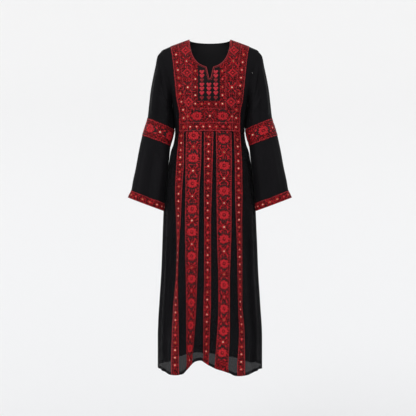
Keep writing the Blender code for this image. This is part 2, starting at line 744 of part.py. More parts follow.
def lining():
    """The lining tube, which hangs inside the skirt from the waist."""
    turn = 2.0 * math.pi * np.arange(LINING_COLUMNS) / LINING_COLUMNS - math.pi
    in_front = np.cos(turn) > -1e-9
    behind = np.arctan2(np.sin(turn), -np.cos(turn))
    outer = []
    inner = []
    for height, inset in LINING_ROWS:
        level = np.full(len(turn), height)
        for deeper, found in ((0.0, outer), (LINING_WALL, inner)):
            away = inset + deeper
            near = body_point(turn, level, -1, away, LINING_FOLD)
            far = body_point(behind, level, 1, away, LINING_FOLD)
            found.append(np.where(in_front[:, None], near, far))
    outer = np.array(outer)
    cells = short_diagonals(outer, True)
    wall_solid("skirt_lining", outer, np.array(inner), LINING_BLACK, cells, True)


def main():
    for made in list(bpy.data.objects):
        bpy.data.objects.remove(made, do_unlink=True)
    front = panel_walls(*front_grid(), -1)
    back = panel_walls(*back_grid(), 1)
    sleeve, outward, sleeve_inner, armhole_inner = right_sleeve(front, back)
    front_cells = short_diagonals(front[0])
    front_inner = body_inner_points(front, armhole_inner, -1)
    back_inner = body_inner_points(back, armhole_inner, 1)
    bodice_and_skirt("front", front[0], front_inner, front_cells)
    bodice_and_skirt("back", back[0], back_inner, short_diagonals(back[0]))
    cells = short_diagonals(sleeve, True)
    wall_solid("sleeve_right", sleeve, sleeve_inner, BLACK_CLOTH, cells, True)
    left_inner = mirrored(sleeve_inner)
    wall_solid("sleeve_left", mirrored(sleeve), left_inner, BLACK_CLOTH, cells, True)
    chest_and_bands(*front, front_cells, (DARK_RED, RED_THREAD))
    for name, (start, end) in (("armband", ARMBAND_RINGS), ("cuff_band", CUFF_RINGS)):
        points = sleeve[start : end + 1]
        away = outward[start : end + 1]
        part = cells[start:end]
        laid_on(f"{name}_right", points, away, RED_THREAD, part, True)
        laid_on(f"{name}_left", mirrored(points), mirrored(away), RED_THREAD, part, True)
    piping(*front)
    lining()


if __name__ == "__main__":
    main()
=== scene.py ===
"""The looks of a long embroidered thobe dress in its worn, hollow form.

Metres, +Z up, the front faces -Y and the wearer's right is at -X. Every cloth is a thin shell: a
grid of points worked out over the body or a sleeve, and the same grid one cloth's thickness
inside it. Embroidery is small raised stitches, laid on that cloth by the cloth's own formula.
"""

import logging
import math
from dataclasses import dataclass, field
from enum import Enum
from typing import Any, Protocol

import bpy
import numpy as np
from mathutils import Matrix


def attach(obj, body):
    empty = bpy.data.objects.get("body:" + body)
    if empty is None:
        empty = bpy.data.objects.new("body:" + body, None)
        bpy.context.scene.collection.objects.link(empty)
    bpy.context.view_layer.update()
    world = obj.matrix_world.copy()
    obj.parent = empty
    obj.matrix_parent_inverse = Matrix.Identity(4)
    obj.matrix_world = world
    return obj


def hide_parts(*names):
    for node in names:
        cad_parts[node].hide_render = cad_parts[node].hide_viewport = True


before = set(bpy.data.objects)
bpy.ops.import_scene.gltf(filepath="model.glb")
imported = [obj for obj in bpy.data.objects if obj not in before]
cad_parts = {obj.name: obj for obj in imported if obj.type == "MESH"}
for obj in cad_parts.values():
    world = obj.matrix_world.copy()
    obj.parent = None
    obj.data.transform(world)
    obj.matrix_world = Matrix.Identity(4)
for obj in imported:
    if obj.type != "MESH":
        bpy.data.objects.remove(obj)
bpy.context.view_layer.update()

log = logging.getLogger("thobe")
Array = np.ndarray
Table = tuple[tuple[float, ...], ...]
QUARTER = math.pi / 2
FULL_TURN = 2.0 * math.pi
STEP = 0.0005
SHARP_ANGLE = math.radians(60.0)
BOTH = np.array([-1.0, 1.0])


class Side(Enum):
    """Front or back of the dress, as the sign of its Y."""

    FRONT = -1
    BACK = 1


class Hand(Enum):
    """The wearer's right or left, as the sign of its X."""

    RIGHT = -1
    LEFT = 1


class Tone(Enum):
    """Colours of the embroidery threads."""

    BLACK = (0.0040, 0.0032, 0.0040)
    RED = (0.230, 0.0050, 0.0100)
    BRIGHT = (0.620, 0.0100, 0.0200)
    ROSE = (0.640, 0.0460, 0.0760)
    CORAL = (0.720, 0.0900, 0.0900)
    SATIN = (0.520, 0.0160, 0.0320)
    BORDER = (0.430, 0.0260, 0.0340)
    CREAM = (0.860, 0.700, 0.480)
    GOLD = (0.380, 0.270, 0.110)


Lines = tuple[tuple[float, float, Tone], ...]


class Outline(Enum):
    """Outline of one stitched block, as the power and the end width of its taper."""

    LEAF = (0.75, 0.06)
    DIAMOND = (1.00, 0.06)
    ROUND = (0.50, 0.12)
    BAR = (0.02, 0.90)


def smooth(value: Any) -> Array:
    """Eases from 0 to 1 as the value goes from 0 to 1."""
    part = np.clip(value, 0.0, 1.0)
    return part * part * (3.0 - 2.0 * part)


def signed_power(value: Array, power: float) -> Array:
    """The size of a value raised to a power, with the value's own sign."""
    return np.sign(value) * np.abs(value) ** power


def unit(vectors: Array) -> Array:
    """Each vector at length one."""
    return vectors / np.maximum(np.linalg.norm(vectors, axis=-1, keepdims=True), 1e-12)


class Curve:
    """A smooth line through the points of a short table, with no overshoot between them."""

    def __init__(self, where: Array, value: Array) -> None:
        """Works out a slope at each point: the weighted harmonic mean of those beside it.

        Args:
            where: places along the line.
            value: the line's value at each place.
        """
        order = np.argsort(where)
        self.where = np.asarray(where, float)[order]
        self.value = np.asarray(value, float)[order]
        step = np.diff(self.where)
        rise = np.diff(self.value) / step
        before = 2.0 * step[1:] + step[:-1]
        after = step[1:] + 2.0 * step[:-1]
        same_way = rise[:-1] * rise[1:] > 0
        low = np.where(same_way, rise[:-1], 1.0)
        high = np.where(same_way, rise[1:], 1.0)
        mean = (before + after) / (before / low + after / high)
        inner = np.where(same_way, mean, 0.0)
        self.slope = np.concatenate([rise[:1], inner, rise[-1:]])

    def __call__(self, where: Any) -> Array:
        """The line's value at each place, held at its ends."""
        held = np.clip(where, self.where[0], self.where[-1])
        index = np.clip(np.searchsorted(self.where, held) - 1, 0, len(self.where) - 2)
        step = self.where[index + 1] - self.where[index]
        part = (held - self.where[index]) / step
        low = self.value[index]
        high = self.value[index + 1]
        bend = part * part * (3.0 - 2.0 * part)
        lead = part * (1.0 - part) ** 2 * self.slope[index] * step
        tail = part * part * (part - 1.0) * self.slope[index + 1] * step
        return low + (high - low) * bend + lead + tail


def curve_of(table: Table, column: int = 1, scale: float = 1.0) -> Curve:
    """A curve of one column of a table over the table's first column."""
    columns = np.array(table, float).T
    return Curve(columns[0], columns[column] * scale)


@dataclass(frozen=True)
class Fold:
    """A soft fold that runs down the cloth, in degrees across and levels down."""

    centre: float
    out: float
    spread: float
    start: float
    full: float
    fade: float = -20.0
    gone: float = -21.0

    def push(self, degrees: Array, level: Array) -> Array:
        """How far it pushes the cloth out: a bell across, eased in from start and out to gone."""
        grown = smooth((self.start - level) / (self.start - self.full))
        left = 1.0 - smooth((self.fade - level) / (self.fade - self.gone))
        return self.out * grown * left * np.exp(-0.5 * ((degrees - self.centre) / self.spread) ** 2)


@dataclass(frozen=True)
class Crease:
    """A short soft crease between two places, each given in degrees and a level."""

    from_degrees: float
    from_level: float
    to_degrees: float
    to_level: float
    out: float
    width: float

    def push(self, degrees: Array, level: Array, degree: float, rise: float) -> Array:
        """How far it pushes the cloth out: a bell across its line, eased away at both ends.

        Args:
            degrees: places across.
            level: places down.
            degree: metres in one degree.
            rise: metres in one level.

        Returns:
            The push in metres at each place.
        """
        run = (self.to_degrees - self.from_degrees) * degree
        drop = (self.to_level - self.from_level) * rise
        over = (degrees - self.from_degrees) * degree
        down = (level - self.from_level) * rise
        length = math.hypot(run, drop)
        along = (over * run + down * drop) / length**2
        off = (over * drop - down * run) / length
        taper = smooth(along / 0.45) * smooth((1.0 - along) / 0.45)
        return self.out * taper * np.exp(-0.5 * (off / self.width) ** 2)


def pushed(shapes: tuple, *place: Any) -> Array:
    """What several folds or creases push out together."""
    total = np.zeros(np.broadcast(place[0], place[1]).shape)
    for shape in shapes:
        total = total + shape.push(*place)
    return total


def many(kind: type, *rows: tuple[float, ...]) -> tuple:
    """One fold or crease for each row of its numbers."""
    return tuple(kind(*row) for row in rows)


@dataclass
class BodyForm:
    """The worn form of the dress's body: slices of a rounded box, with folds and creases."""

    slices: Table = (
        (0.045, 0.03, 0.012, 0.024), (0.025, 0.087, 0.03, 0.058), (0.008, 0.1335, 0.045, 0.066),
        (-0.0086, 0.1756, 0.056, 0.072), (-0.025, 0.205, 0.065, 0.078),
        (-0.06, 0.207, 0.078, 0.088), (-0.1, 0.203, 0.088, 0.095), (-0.15, 0.192, 0.1, 0.1),
        (-0.2, 0.174, 0.113, 0.098), (-0.245, 0.16, 0.118, 0.095), (-0.3, 0.15, 0.11, 0.087),
        (-0.3666, 0.1463, 0.1, 0.08), (-0.412, 0.1525, 0.103, 0.086), (-0.445, 0.164, 0.107, 0.095),
        (-0.48, 0.17, 0.112, 0.104), (-0.56, 0.181, 0.118, 0.122), (-0.6, 0.186, 0.122, 0.124),
        (-0.7, 0.193, 0.128, 0.126), (-0.815, 0.1974, 0.134, 0.128), (-0.93, 0.2016, 0.14, 0.13),
        (-1.067, 0.21, 0.147, 0.137), (-1.218, 0.2184, 0.155, 0.146), (-1.36, 0.2184, 0.16, 0.152),
    )
    slice_power: float = 2.2
    seam_taper: float = 0.25
    seam_gap: float = 0.0003
    waist: float = -0.3666
    hem: float = -1.347
    back_hem_rise: float = 0.034
    front_hem: Table = (
        (-90, 0), (-62, -0.001), (-53, -0.009), (-40, -0.007), (-28, -0.004), (-23, 0.014),
        (-18, 0.031), (-13, 0.044), (-8, 0.047), (-4, 0.039), (0, 0.028), (5, 0.017), (12, 0.01),
        (19, 0.002), (25, -0.007), (36, -0.009), (48, -0.009), (58, -0.001), (70, 0.002), (90, 0),
    )
    shoulder_end: float = 0.205
    armhole_middle: float = -0.135
    armhole_half: float = 0.110
    armhole_cut: float = 0.12
    degree: float = 0.0032
    seam_dip: float = 0.0007
    seam_dip_width: float = 0.0016
    front_folds: tuple[Fold, ...] = many(
        Fold,
        (-38, 0.022, 9, -0.55, -1.2), (-44.5, -0.022, 3.8, -0.6, -0.85, -1, -1.3),
        (-11.4, -0.035, 11, -0.75, -1.33), (8, -0.01, 10, -0.95, -1.33),
        (30.6, 0.018, 11, -0.6, -1.2), (-62, 0.012, 6, -0.45, -0.8), (62, 0.012, 6, -0.45, -0.8),
        (-53, -0.01, 5, -0.5, -1), (51, -0.014, 5, -0.5, -0.9),
    )
    back_folds: tuple[Fold, ...] = many(
        Fold,
        (-58, 0.012, 7, -0.45, -0.9), (-40, -0.014, 7, -0.5, -1.1), (-20, 0.016, 9, -0.6, -1.2),
        (3, -0.018, 9, -0.65, -1.25), (26, 0.015, 9, -0.55, -1.2), (45, -0.013, 6, -0.5, -1),
        (61, 0.012, 6, -0.45, -0.9),
    )
    front_ripples: tuple[Fold, ...] = many(
        Fold,
        (-76, 0.005, 3, -0.42, -0.62, -1.1, -1.3), (-70, -0.005, 2.6, -0.5, -0.8),
        (-57.5, -0.0035, 2.4, -0.4, -0.55, -0.9, -1.15), (-30, -0.003, 2.8, -0.95, -1.2),
        (-22.5, 0.0035, 2.6, -0.8, -1.05), (-2, 0.0028, 3, -0.9, -1.2),
        (7.5, -0.003, 2.6, -0.62, -0.9, -1.05, -1.25), (21, -0.0026, 2.4, -1, -1.25),
        (41.5, 0.0032, 2.8, -0.72, -1), (56.5, 0.004, 2.6, -0.4, -0.6, -0.95, -1.2),
        (68.5, -0.005, 2.8, -0.44, -0.75), (75.5, 0.0045, 3, -0.55, -0.85),
    )
    back_ripples: tuple[Fold, ...] = many(
        Fold,
        (-75, 0.0045, 3, -0.42, -0.7), (-67, -0.005, 2.8, -0.48, -0.8),
        (-49, 0.004, 2.6, -0.4, -0.62, -1, -1.25), (-31, -0.0042, 3, -0.6, -0.9),
        (-12, 0.0034, 2.6, -0.75, -1.05), (-4.5, -0.0036, 2.4, -0.4, -0.58, -0.8, -1.05),
        (14, 0.004, 3, -0.5, -0.85), (35, -0.0045, 2.6, -0.44, -0.72, -1.15, -1.35),
        (53, 0.0038, 2.8, -0.62, -0.95), (69, -0.0048, 2.8, -0.44, -0.78),
        (76, 0.0042, 3, -0.52, -0.86),
    )
    front_creases: tuple[Crease, ...] = many(
        Crease,
        (-60, -0.062, -72, -0.205, 0.0042, 0.007), (-63, -0.12, -78, -0.262, -0.0036, 0.006),
        (-70, -0.205, -62, -0.345, 0.0034, 0.0065), (-66, -0.29, -76, -0.405, -0.003, 0.0055),
        (61, -0.055, 73, -0.215, 0.004, 0.0075), (65, -0.135, 77, -0.25, -0.0034, 0.0055),
        (71, -0.22, 64, -0.352, 0.0036, 0.006), (65, -0.3, 75, -0.425, -0.0032, 0.006),
        (-66, -0.375, -70, -0.52, 0.0032, 0.005), (68, -0.372, 71, -0.5, 0.003, 0.0048),
        (-48, -0.372, -49.5, -0.47, -0.0016, 0.004), (52, -0.372, 50.5, -0.455, -0.0016, 0.004),
    )
    back_creases: tuple[Crease, ...] = many(
        Crease,
        (-58, -0.07, -71, -0.215, 0.0045, 0.0075), (-52, -0.13, -76, -0.255, -0.0038, 0.0065),
        (-40, -0.18, -70, -0.3, 0.0034, 0.008), (57, -0.075, 70, -0.21, 0.0043, 0.007),
        (50, -0.14, 76, -0.262, -0.004, 0.0065), (36, -0.2, 68, -0.315, 0.0032, 0.0085),
        (-14, -0.03, -20, -0.19, -0.003, 0.009), (16, -0.028, 21, -0.205, -0.0032, 0.0085),
        (-30, -0.29, 8, -0.335, -0.003, 0.007), (34, -0.31, -2, -0.352, 0.0026, 0.007),
        (-44, -0.371, -46, -0.49, 0.0034, 0.0055), (-24, -0.371, -22, -0.455, -0.0028, 0.005),
        (6, -0.371, 8, -0.5, 0.0032, 0.006), (28, -0.371, 30, -0.46, -0.003, 0.005),
        (48, -0.371, 50, -0.495, 0.0032, 0.0055),
    )

    def __post_init__(self) -> None:
        """Makes the smooth curves of the slices' table."""
        self.half_width = curve_of(self.slices, 1)
        self.front_depth = curve_of(self.slices, 2)
        self.back_depth = curve_of(self.slices, 3)
        self.front_hem_line = curve_of(self.front_hem)

    def near_seam(self, angle: Array) -> Array:
        """Fades to 0 at the side seams, where front and back meet."""
        return smooth(np.abs(np.cos(angle)) / self.seam_taper)

    def fold_out(self, angle: Array, height: Array, side: Side) -> Array:
        """What the main folds push out, in metres."""
        folds = self.front_folds if side is Side.FRONT else self.back_folds
        return pushed(folds, np.degrees(angle), height) * self.near_seam(angle)

    def detail_out(self, angle: Array, height: Array, side: Side) -> Array:
        """What ripples, creases and the waist seam's dip push out, in metres."""
        front = side is Side.FRONT
        ripples = self.front_ripples if front else self.back_ripples
        creases = self.front_creases if front else self.back_creases
        degrees = np.degrees(angle)
        total = pushed(ripples, degrees, height)
        total = total + pushed(creases, degrees, height, self.degree, 1.0)
        from_waist = (height - self.waist) / self.seam_dip_width
        dip = self.seam_dip * np.exp(-0.5 * from_waist**2)
        return total * self.near_seam(angle) - dip

    def plain(
        self, angle: Array, height: Array, side: Side, inset: float = 0.0, folded: float = 1.0
    ) -> Array:
        """Points of the slices with the main folds: a rounded box's outline at each height.

        Args:
            angle: turn from the front's or the back's middle, in radians.
            height: height of each point.
            side: front or back.
            inset: how far inside the dress the points lie.
            folded: the part of the main folds that is kept.

        Returns:
            The points.
        """
        depth = self.front_depth(height) if side is Side.FRONT else self.back_depth(height)
        power = 2.0 / self.slice_power
        across = (self.half_width(height) - inset) * signed_power(np.sin(angle), power)
        away = (depth - inset) * signed_power(np.cos(angle), power)
        away = away + folded * self.fold_out(angle, height, side)
        return np.stack([across, side.value * away, height + 0.0 * angle], axis=-1)

    def outward(self, angle: Array, height: Array, side: Side) -> Array:
        """Outward directions: the cross of the steps across and up, at unit length."""
        turn = 4.0 * STEP
        over = self.plain(angle + turn, height, side) - self.plain(angle - turn, height, side)
        up = self.plain(angle, height + STEP, side) - self.plain(angle, height - STEP, side)
        return unit(-side.value * np.cross(over, up))

    def cloth(self, angle: Array, height: Array, side: Side) -> tuple[Array, Array]:
        """Points and outward directions of the creased cloth, its side seams on one plane.

        Args:
            angle: turn from the middle, in radians.
            height: height of each point.
            side: front or back.

        Returns:
            The points and the outward directions.
        """
        points = self.plain(angle, height, side)
        away = self.outward(angle, height, side)
        seam = np.isclose(np.abs(angle), QUARTER)
        points[seam, 1] = side.value * self.seam_gap / 2.0
        away[seam, 1] = 0.0
        away = unit(away)
        return points + self.detail_out(angle, height, side)[..., None] * away, away

    def angle_of(self, across: Array, height: Array) -> Array:
        """Angle of the point of a slice that lies this far across."""
        part = np.clip(np.abs(across) / self.half_width(height), 0.0, 1.0)
        return np.sign(across) * np.arcsin(part ** (self.slice_power / 2.0))

    def seam_height(self, across: Any) -> Array:
        """Height of the shoulder seam at a distance from the middle."""
        heights = np.linspace(0.025, self.armhole_middle + self.armhole_half, 400)
        return np.interp(across, self.half_width(heights), heights)

    def boundary(self, height: Array) -> Array:
        """Outer edge of a body panel: side seam, then armhole, then up from the shoulder."""
        top = self.armhole_middle + self.armhole_half
        part = 1.0 - ((height - self.armhole_middle) / self.armhole_half) ** 2
        edge = self.half_width(height) * (1.0 - self.armhole_cut * np.maximum(0.0, part))
        return np.where(height > top, self.shoulder_end, edge)

    def hem_height(self, angle: Array, side: Side) -> Array:
        """Height of the hem: a waved line in front, higher in the middle of the back."""
        if side is Side.FRONT:
            return self.hem + self.front_hem_line(np.degrees(angle))
        return self.hem + self.back_hem_rise * np.cos(angle) ** 2


@dataclass
class ClothGrid:
    """A grid of cloth points with their outward directions."""

    points: Array
    outward: Array
    around: bool = False

    def part(self, rows: slice, columns: slice = slice(None)) -> "ClothGrid":
        """The same cloth over some of its rows and columns."""
        around = self.around and columns == slice(None)
        points = self.points[rows, columns].copy()
        return ClothGrid(points, self.outward[rows, columns].copy(), around)

    def wrapped(self) -> Array:
        """The points, with the first column once more at the end where the cloth goes round."""
        if self.around:
            return np.concatenate([self.points, self.points[:, :1]], axis=1)
        return self.points

    def flat(self) -> Array:
        """Flat coordinates: the cloth's length along its rows, and along its columns."""
        points = self.wrapped()
        over = np.linalg.norm(np.diff(points, axis=1), axis=-1)
        down = np.linalg.norm(np.diff(points, axis=0), axis=-1)
        width = np.pad(np.cumsum(over, axis=1), ((0, 0), (1, 0)))
        width = width - width[:, width.shape[1] // 2][:, None]
        length = np.pad(np.cumsum(down, axis=0), ((1, 0), (0, 0)))
        return np.stack([width, length], axis=-1)


def corners(values: Array) -> Array:
    """The four corners of each cell of a grid of values, in turn."""
    cells = [values[:-1, :-1], values[:-1, 1:], values[1:, 1:], values[1:, :-1]]
    stacked = np.stack(cells, axis=2)
    return stacked.reshape((-1, 4) + values.shape[2:])


@dataclass
class MeshDraft:
    """Gathers points, four-sided faces, flat coordinates and thread colours for one mesh."""

    points: list[Array] = field(default_factory=list)
    faces: list[Array] = field(default_factory=list)
    flats: list[Array] = field(default_factory=list)
    tones: list[Array] = field(default_factory=list)
    count: int = 0

    def add(self, points: Array, faces: Array, flats: Array, tones: Array | None = None) -> None:
        """Adds points, faces numbered from 0 among them, and flat coordinates a corner."""
        self.points.append(points.reshape(-1, 3))
        self.faces.append(faces + self.count)
        self.flats.append(flats)
        if tones is not None:
            self.tones.append(tones.reshape(-1, 3))
        self.count += points.size // 3

    def build(
        self, name: str, finish: bpy.types.Material, inside: tuple[Any, int, int] | None = None
    ) -> Any:
        """Makes the mesh object at the origin, with edges that bend sharply drawn sharp.

        Args:
            name: the piece's name.
            finish: its material.
            inside: another material, with the first face that has it and the one past the last.

        Returns:
            The object.
        """
        points = np.concatenate(self.points)
        faces = np.concatenate(self.faces).astype(np.int32)
        mesh = bpy.data.meshes.new(name)
        mesh.vertices.add(len(points))
        mesh.vertices.foreach_set("co", points.ravel().astype(np.float32))
        mesh.loops.add(faces.size)
        mesh.loops.foreach_set("vertex_index", faces.ravel())
        mesh.polygons.add(len(faces))
        mesh.polygons.foreach_set("loop_start", np.arange(0, faces.size, 4, dtype=np.int32))
        mesh.update(calc_edges=True)
        layer = mesh.uv_layers.new(name="flat")
        layer.data.foreach_set("uv", np.concatenate(self.flats).ravel().astype(np.float32))
        if self.tones:
            tones = np.concatenate(self.tones)
            colours = np.concatenate([tones, np.ones((len(tones), 1))], axis=1)
            attribute = mesh.attributes.new("thread", "FLOAT_COLOR", "POINT")
            attribute.data.foreach_set("color", colours.ravel().astype(np.float32))
        mesh.shade_smooth()
        mesh.set_sharp_from_angle(angle=SHARP_ANGLE)
        mesh.materials.append(finish)
        if inside is not None:
            mesh.materials.append(inside[0])
            slots = np.zeros(len(faces), np.int32)
            slots[inside[1] : inside[2]] = 1
            mesh.polygons.foreach_set("material_index", slots)
        made = bpy.data.objects.new(name, mesh)
        bpy.context.scene.collection.objects.link(made)
        log.info("%s: %d faces", name, len(faces))
        return made


def grid_numbers(rows: int, columns: int, around: bool) -> Array:
    """Point numbers of a grid, with the first column once more where it goes round."""
    numbers = np.arange(rows * columns).reshape(rows, columns)
    return np.concatenate([numbers, numbers[:, :1]], axis=1) if around else numbers


def turned_out(points: Array, outward: Array) -> bool:
    """Whether a grid's faces, taken corner by corner, look along its outward directions."""
    over = points[:-1, 1:] - points[:-1, :-1]
    up = points[1:, :-1] - points[:-1, :-1]
    return float(np.sum(np.cross(over, up) * outward[:-1, :-1])) > 0.0


def rim_faces(edge: Array, beyond: int, flats: Array) -> tuple[Array, Array]:
    """Faces that join a line of outer points to the inner points beyond them in number."""
    faces = np.stack([edge[1:], edge[:-1], edge[:-1] + beyond, edge[1:] + beyond], axis=-1)
    corner_flats = np.stack([flats[1:], flats[:-1], flats[:-1], flats[1:]], axis=1)
    return faces, corner_flats


def cloth_shell(
    name: str,
    grid: ClothGrid,
    finish: bpy.types.Material,
    thickness: float,
    lift: float,
    inside: bpy.types.Material | None = None,
) -> Any:
    """A thin closed cloth: an outer grid, an inner one a thickness inside it, and their rims.

    Args:
        name: the piece's name.
        grid: the cloth's points.
        finish: its material.
        thickness: the cloth's thickness.
        lift: how far its inner face lies outside the grid, or less than 0 for inside.
        inside: the material of its inner face, where that is another.

    Returns:
        The object.
    """
    outer = grid.points + (lift + thickness) * grid.outward
    inner = grid.points + lift * grid.outward
    rows, columns = outer.shape[:2]
    numbers = grid_numbers(rows, columns, grid.around)
    flat = grid.flat()
    beyond = rows * columns
    faces = [corners(numbers), corners(numbers)[:, ::-1] + beyond]
    flats = [corners(flat), corners(flat)[:, ::-1]]
    edges = [(numbers[0], flat[0]), (numbers[-1, ::-1], flat[-1, ::-1])]
    if not grid.around:
        edges += [(numbers[:, -1], flat[:, -1]), (numbers[::-1, 0], flat[::-1, 0])]
    for edge, edge_flat in edges:
        rim, rim_flat = rim_faces(edge, beyond, edge_flat)
        faces.append(rim)
        flats.append(rim_flat)
    faces_all = np.concatenate(faces)
    flats_all = np.concatenate(flats)
    if not turned_out(outer, grid.outward):
        faces_all = faces_all[:, ::-1]
        flats_all = flats_all[:, ::-1]
    draft = MeshDraft()
    draft.add(np.concatenate([outer.reshape(-1, 3), inner.reshape(-1, 3)]), faces_all, flats_all)
    return draft.build(name, finish, inside and (inside, len(faces[0]), 2 * len(faces[0])))


@dataclass
class FrontCut:
    """The front's lines: the chest panel, the neckline with its slit, and the skirt's bands.

    Bands holds, at each height, the distance across in mm of the five bands' edges.
    """

    body: BodyForm
    fine_across: int = 4
    fine_down: int = 4
    fine_skirt: int = 12
    band_edges: Table = (
        (-0.3666, -126, -106.4, -97.5, -33.8, -24.1, 14.7, 24.5, 88.1, 97.5, 124.8),
        (-0.4857, -136, -106, -99.1, -35.3, -24, 11.8, 26.4, 89.7, 101.5, 131.2),
        (-0.6076, -141.2, -113.2, -99, -42.6, -23.9, 8.1, 26.8, 87.6, 102.2, 133.1),
        (-0.7292, -137.3, -118.6, -100.4, -44.5, -22.7, 4.5, 27.9, 87.5, 105.7, 130.8),
        (-0.8503, -134.1, -126, -99.4, -47.3, -22.6, 4.4, 30.3, 84.4, 110.3, 130.1),
        (-0.9712, -138, -129.2, -97.3, -51.3, -22.6, 4.4, 34.3, 80.3, 112.2, 129.6),
        (-1.072, -147.1, -128.2, -96.3, -55.2, -25.4, 4.4, 34.3, 80.2, 114, 129.8),
        (-1.171, -152, -125.8, -96.1, -61.1, -25.3, 0.4, 30.2, 80, 117.4, 137.5),
        (-1.31, -156, -124.3, -95.8, -73, -26.5, -3.6, 20.5, 73.8, 109.5, 140.4),
    )
    band_columns: tuple[int, ...] = (3, 2, 4, 3, 3, 3, 4, 2, 3)
    skirt_rows: tuple[float, ...] = (
        0.0, 0.045, 0.090, 0.125, 0.196, 0.288, 0.399, 0.521, 0.643, 0.765, 0.881, 1.0,
    )
    side_columns: int = 10
    neck_column: int = 5
    slit_column: int = 12
    row_crowding: float = 1.5
    armhole_steps: int = 12
    underarm_rows: int = 4
    edge_crowding: tuple[float, float] = (-0.265, -0.215)
    neck_half_width: float = 0.087
    neck_height: float = 0.025
    neck_drop: float = 0.130
    neck_power: float = 2.25
    slit_top_half: float = 0.0165
    slit_bottom_half: float = 0.0050
    slit_bottom: float = -0.155
    neck_ease_peak: float = 0.207
    chest_top_edge: float = 0.165
    neck_ease: tuple[float, ...] = (0.0, 1.0, 2.0, 4.0, 6.0, 9.0, 7.0, 5.0, 3.0, 1.0, 0.0)
    chest_spread: Table = (
        (0.0, 0.0), (0.2, 0.0), (0.35, 0.25), (0.6, 0.5), (0.87, 0.78), (1.0, 1.0),
    )

    def __post_init__(self) -> None:
        """Makes the curves of the bands' edges and of the chest panel's spread."""
        count = len(self.band_edges[0])
        self.edges = [curve_of(self.band_edges, column, 0.001) for column in range(1, count)]
        self.spread = curve_of(self.chest_spread)
        self.chest_columns = sum(self.band_columns)
        self.waist_row = (len(self.skirt_rows) - 1) * self.fine_skirt

    def bodice_steps(self) -> Array:
        """Row numbers of the bodice, counted in the solid's rows from waist to top."""
        last = self.underarm_rows + self.armhole_steps
        return np.arange(last * self.fine_down + 1) / self.fine_down

    def middle_steps(self) -> Array:
        """Parts of the way from waist to top of an inner column's rows."""
        even = self.bodice_steps() / (self.underarm_rows + self.armhole_steps)
        return 1.0 - (1.0 - even) ** self.row_crowding

    def edge_steps(self) -> Array:
        """The same for the outer edge: evenly up the side seam, then evenly round the armhole."""
        row = self.bodice_steps()
        body = self.body
        swing = math.pi * np.clip(row - self.underarm_rows, 0.0, None) / self.armhole_steps
        armhole = body.armhole_middle - body.armhole_half * np.cos(swing)
        side = body.waist + (armhole[0] - body.waist) * row / self.underarm_rows
        heights = np.where(row < self.underarm_rows, side, armhole)
        return (heights - body.waist) / (heights[-1] - body.waist)

    def skirt_steps(self) -> Array:
        """Parts of the way from hem to waist of the skirt's rows."""
        steps = 1.0 - np.array(self.skirt_rows[::-1])
        places = np.arange(self.waist_row + 1) / self.fine_skirt
        return np.interp(places, np.arange(len(steps)), steps)

    def band_across(self, height: Array, columns: Array) -> Array:
        """Distance across at each height of the columns between the chest panel's edges.

        Args:
            height: heights, with the columns along their last axis.
            columns: column numbers, counted in the solid's columns.

        Returns:
            Distances across: a straight blend between the two band edges beside the column.
        """
        starts = np.concatenate([[0], np.cumsum(self.band_columns)])
        index = np.clip(np.searchsorted(starts, columns, "right") - 1, 0, len(starts) - 2)
        part = (columns - starts[index]) / np.diff(starts)[index]
        edges = np.stack([edge(height) for edge in self.edges])
        picked = np.broadcast_to(index, height.shape)[None]
        low = np.take_along_axis(edges, picked, axis=0)[0]
        high = np.take_along_axis(edges, picked + 1, axis=0)[0]
        return low + (high - low) * part

    def neckline(self, columns: Array) -> tuple[Array, Array]:
        """Where the columns end at the top: on the shoulder seam, the neck curve or the slit.

        The neck is a rounded-box curve from the seam to the slit, and the slit is straight.

        Args:
            columns: column numbers, counted in the solid's columns.

        Returns:
            Distance across and height of each end.
        """
        half = np.minimum(columns, self.chest_columns - columns)
        side = np.sign(columns - self.chest_columns / 2.0)
        drop = self.chest_top_edge - self.neck_half_width
        seam = self.chest_top_edge - drop * np.minimum(half, self.neck_column) / self.neck_column
        power = 2.0 / self.neck_power
        last = math.acos((self.slit_top_half / self.neck_half_width) ** (1.0 / power))
        part = np.clip((half - self.neck_column) / (self.slit_column - self.neck_column), 0.0, 1.0)
        curve = self.neck_half_width * np.cos(last * part) ** power
        curve_height = self.neck_height - self.neck_drop * np.sin(last * part) ** power
        down = np.clip(half - self.slit_column, 0.0, 1.0)
        slit = self.slit_top_half + (self.slit_bottom_half - self.slit_top_half) * down
        slit_height = curve_height + (self.slit_bottom - curve_height) * down
        past = np.clip(half - self.slit_column - 1.0, 0.0, 0.5) / 0.5
        slit = slit * (1.0 - past)
        on_seam = half <= self.neck_column
        on_slit = half > self.slit_column
        across = np.where(on_seam, seam, np.where(on_slit, slit, curve))
        height = np.where(on_seam, self.body.seam_height(seam), curve_height)
        return side * across, np.where(on_slit, slit_height, height)

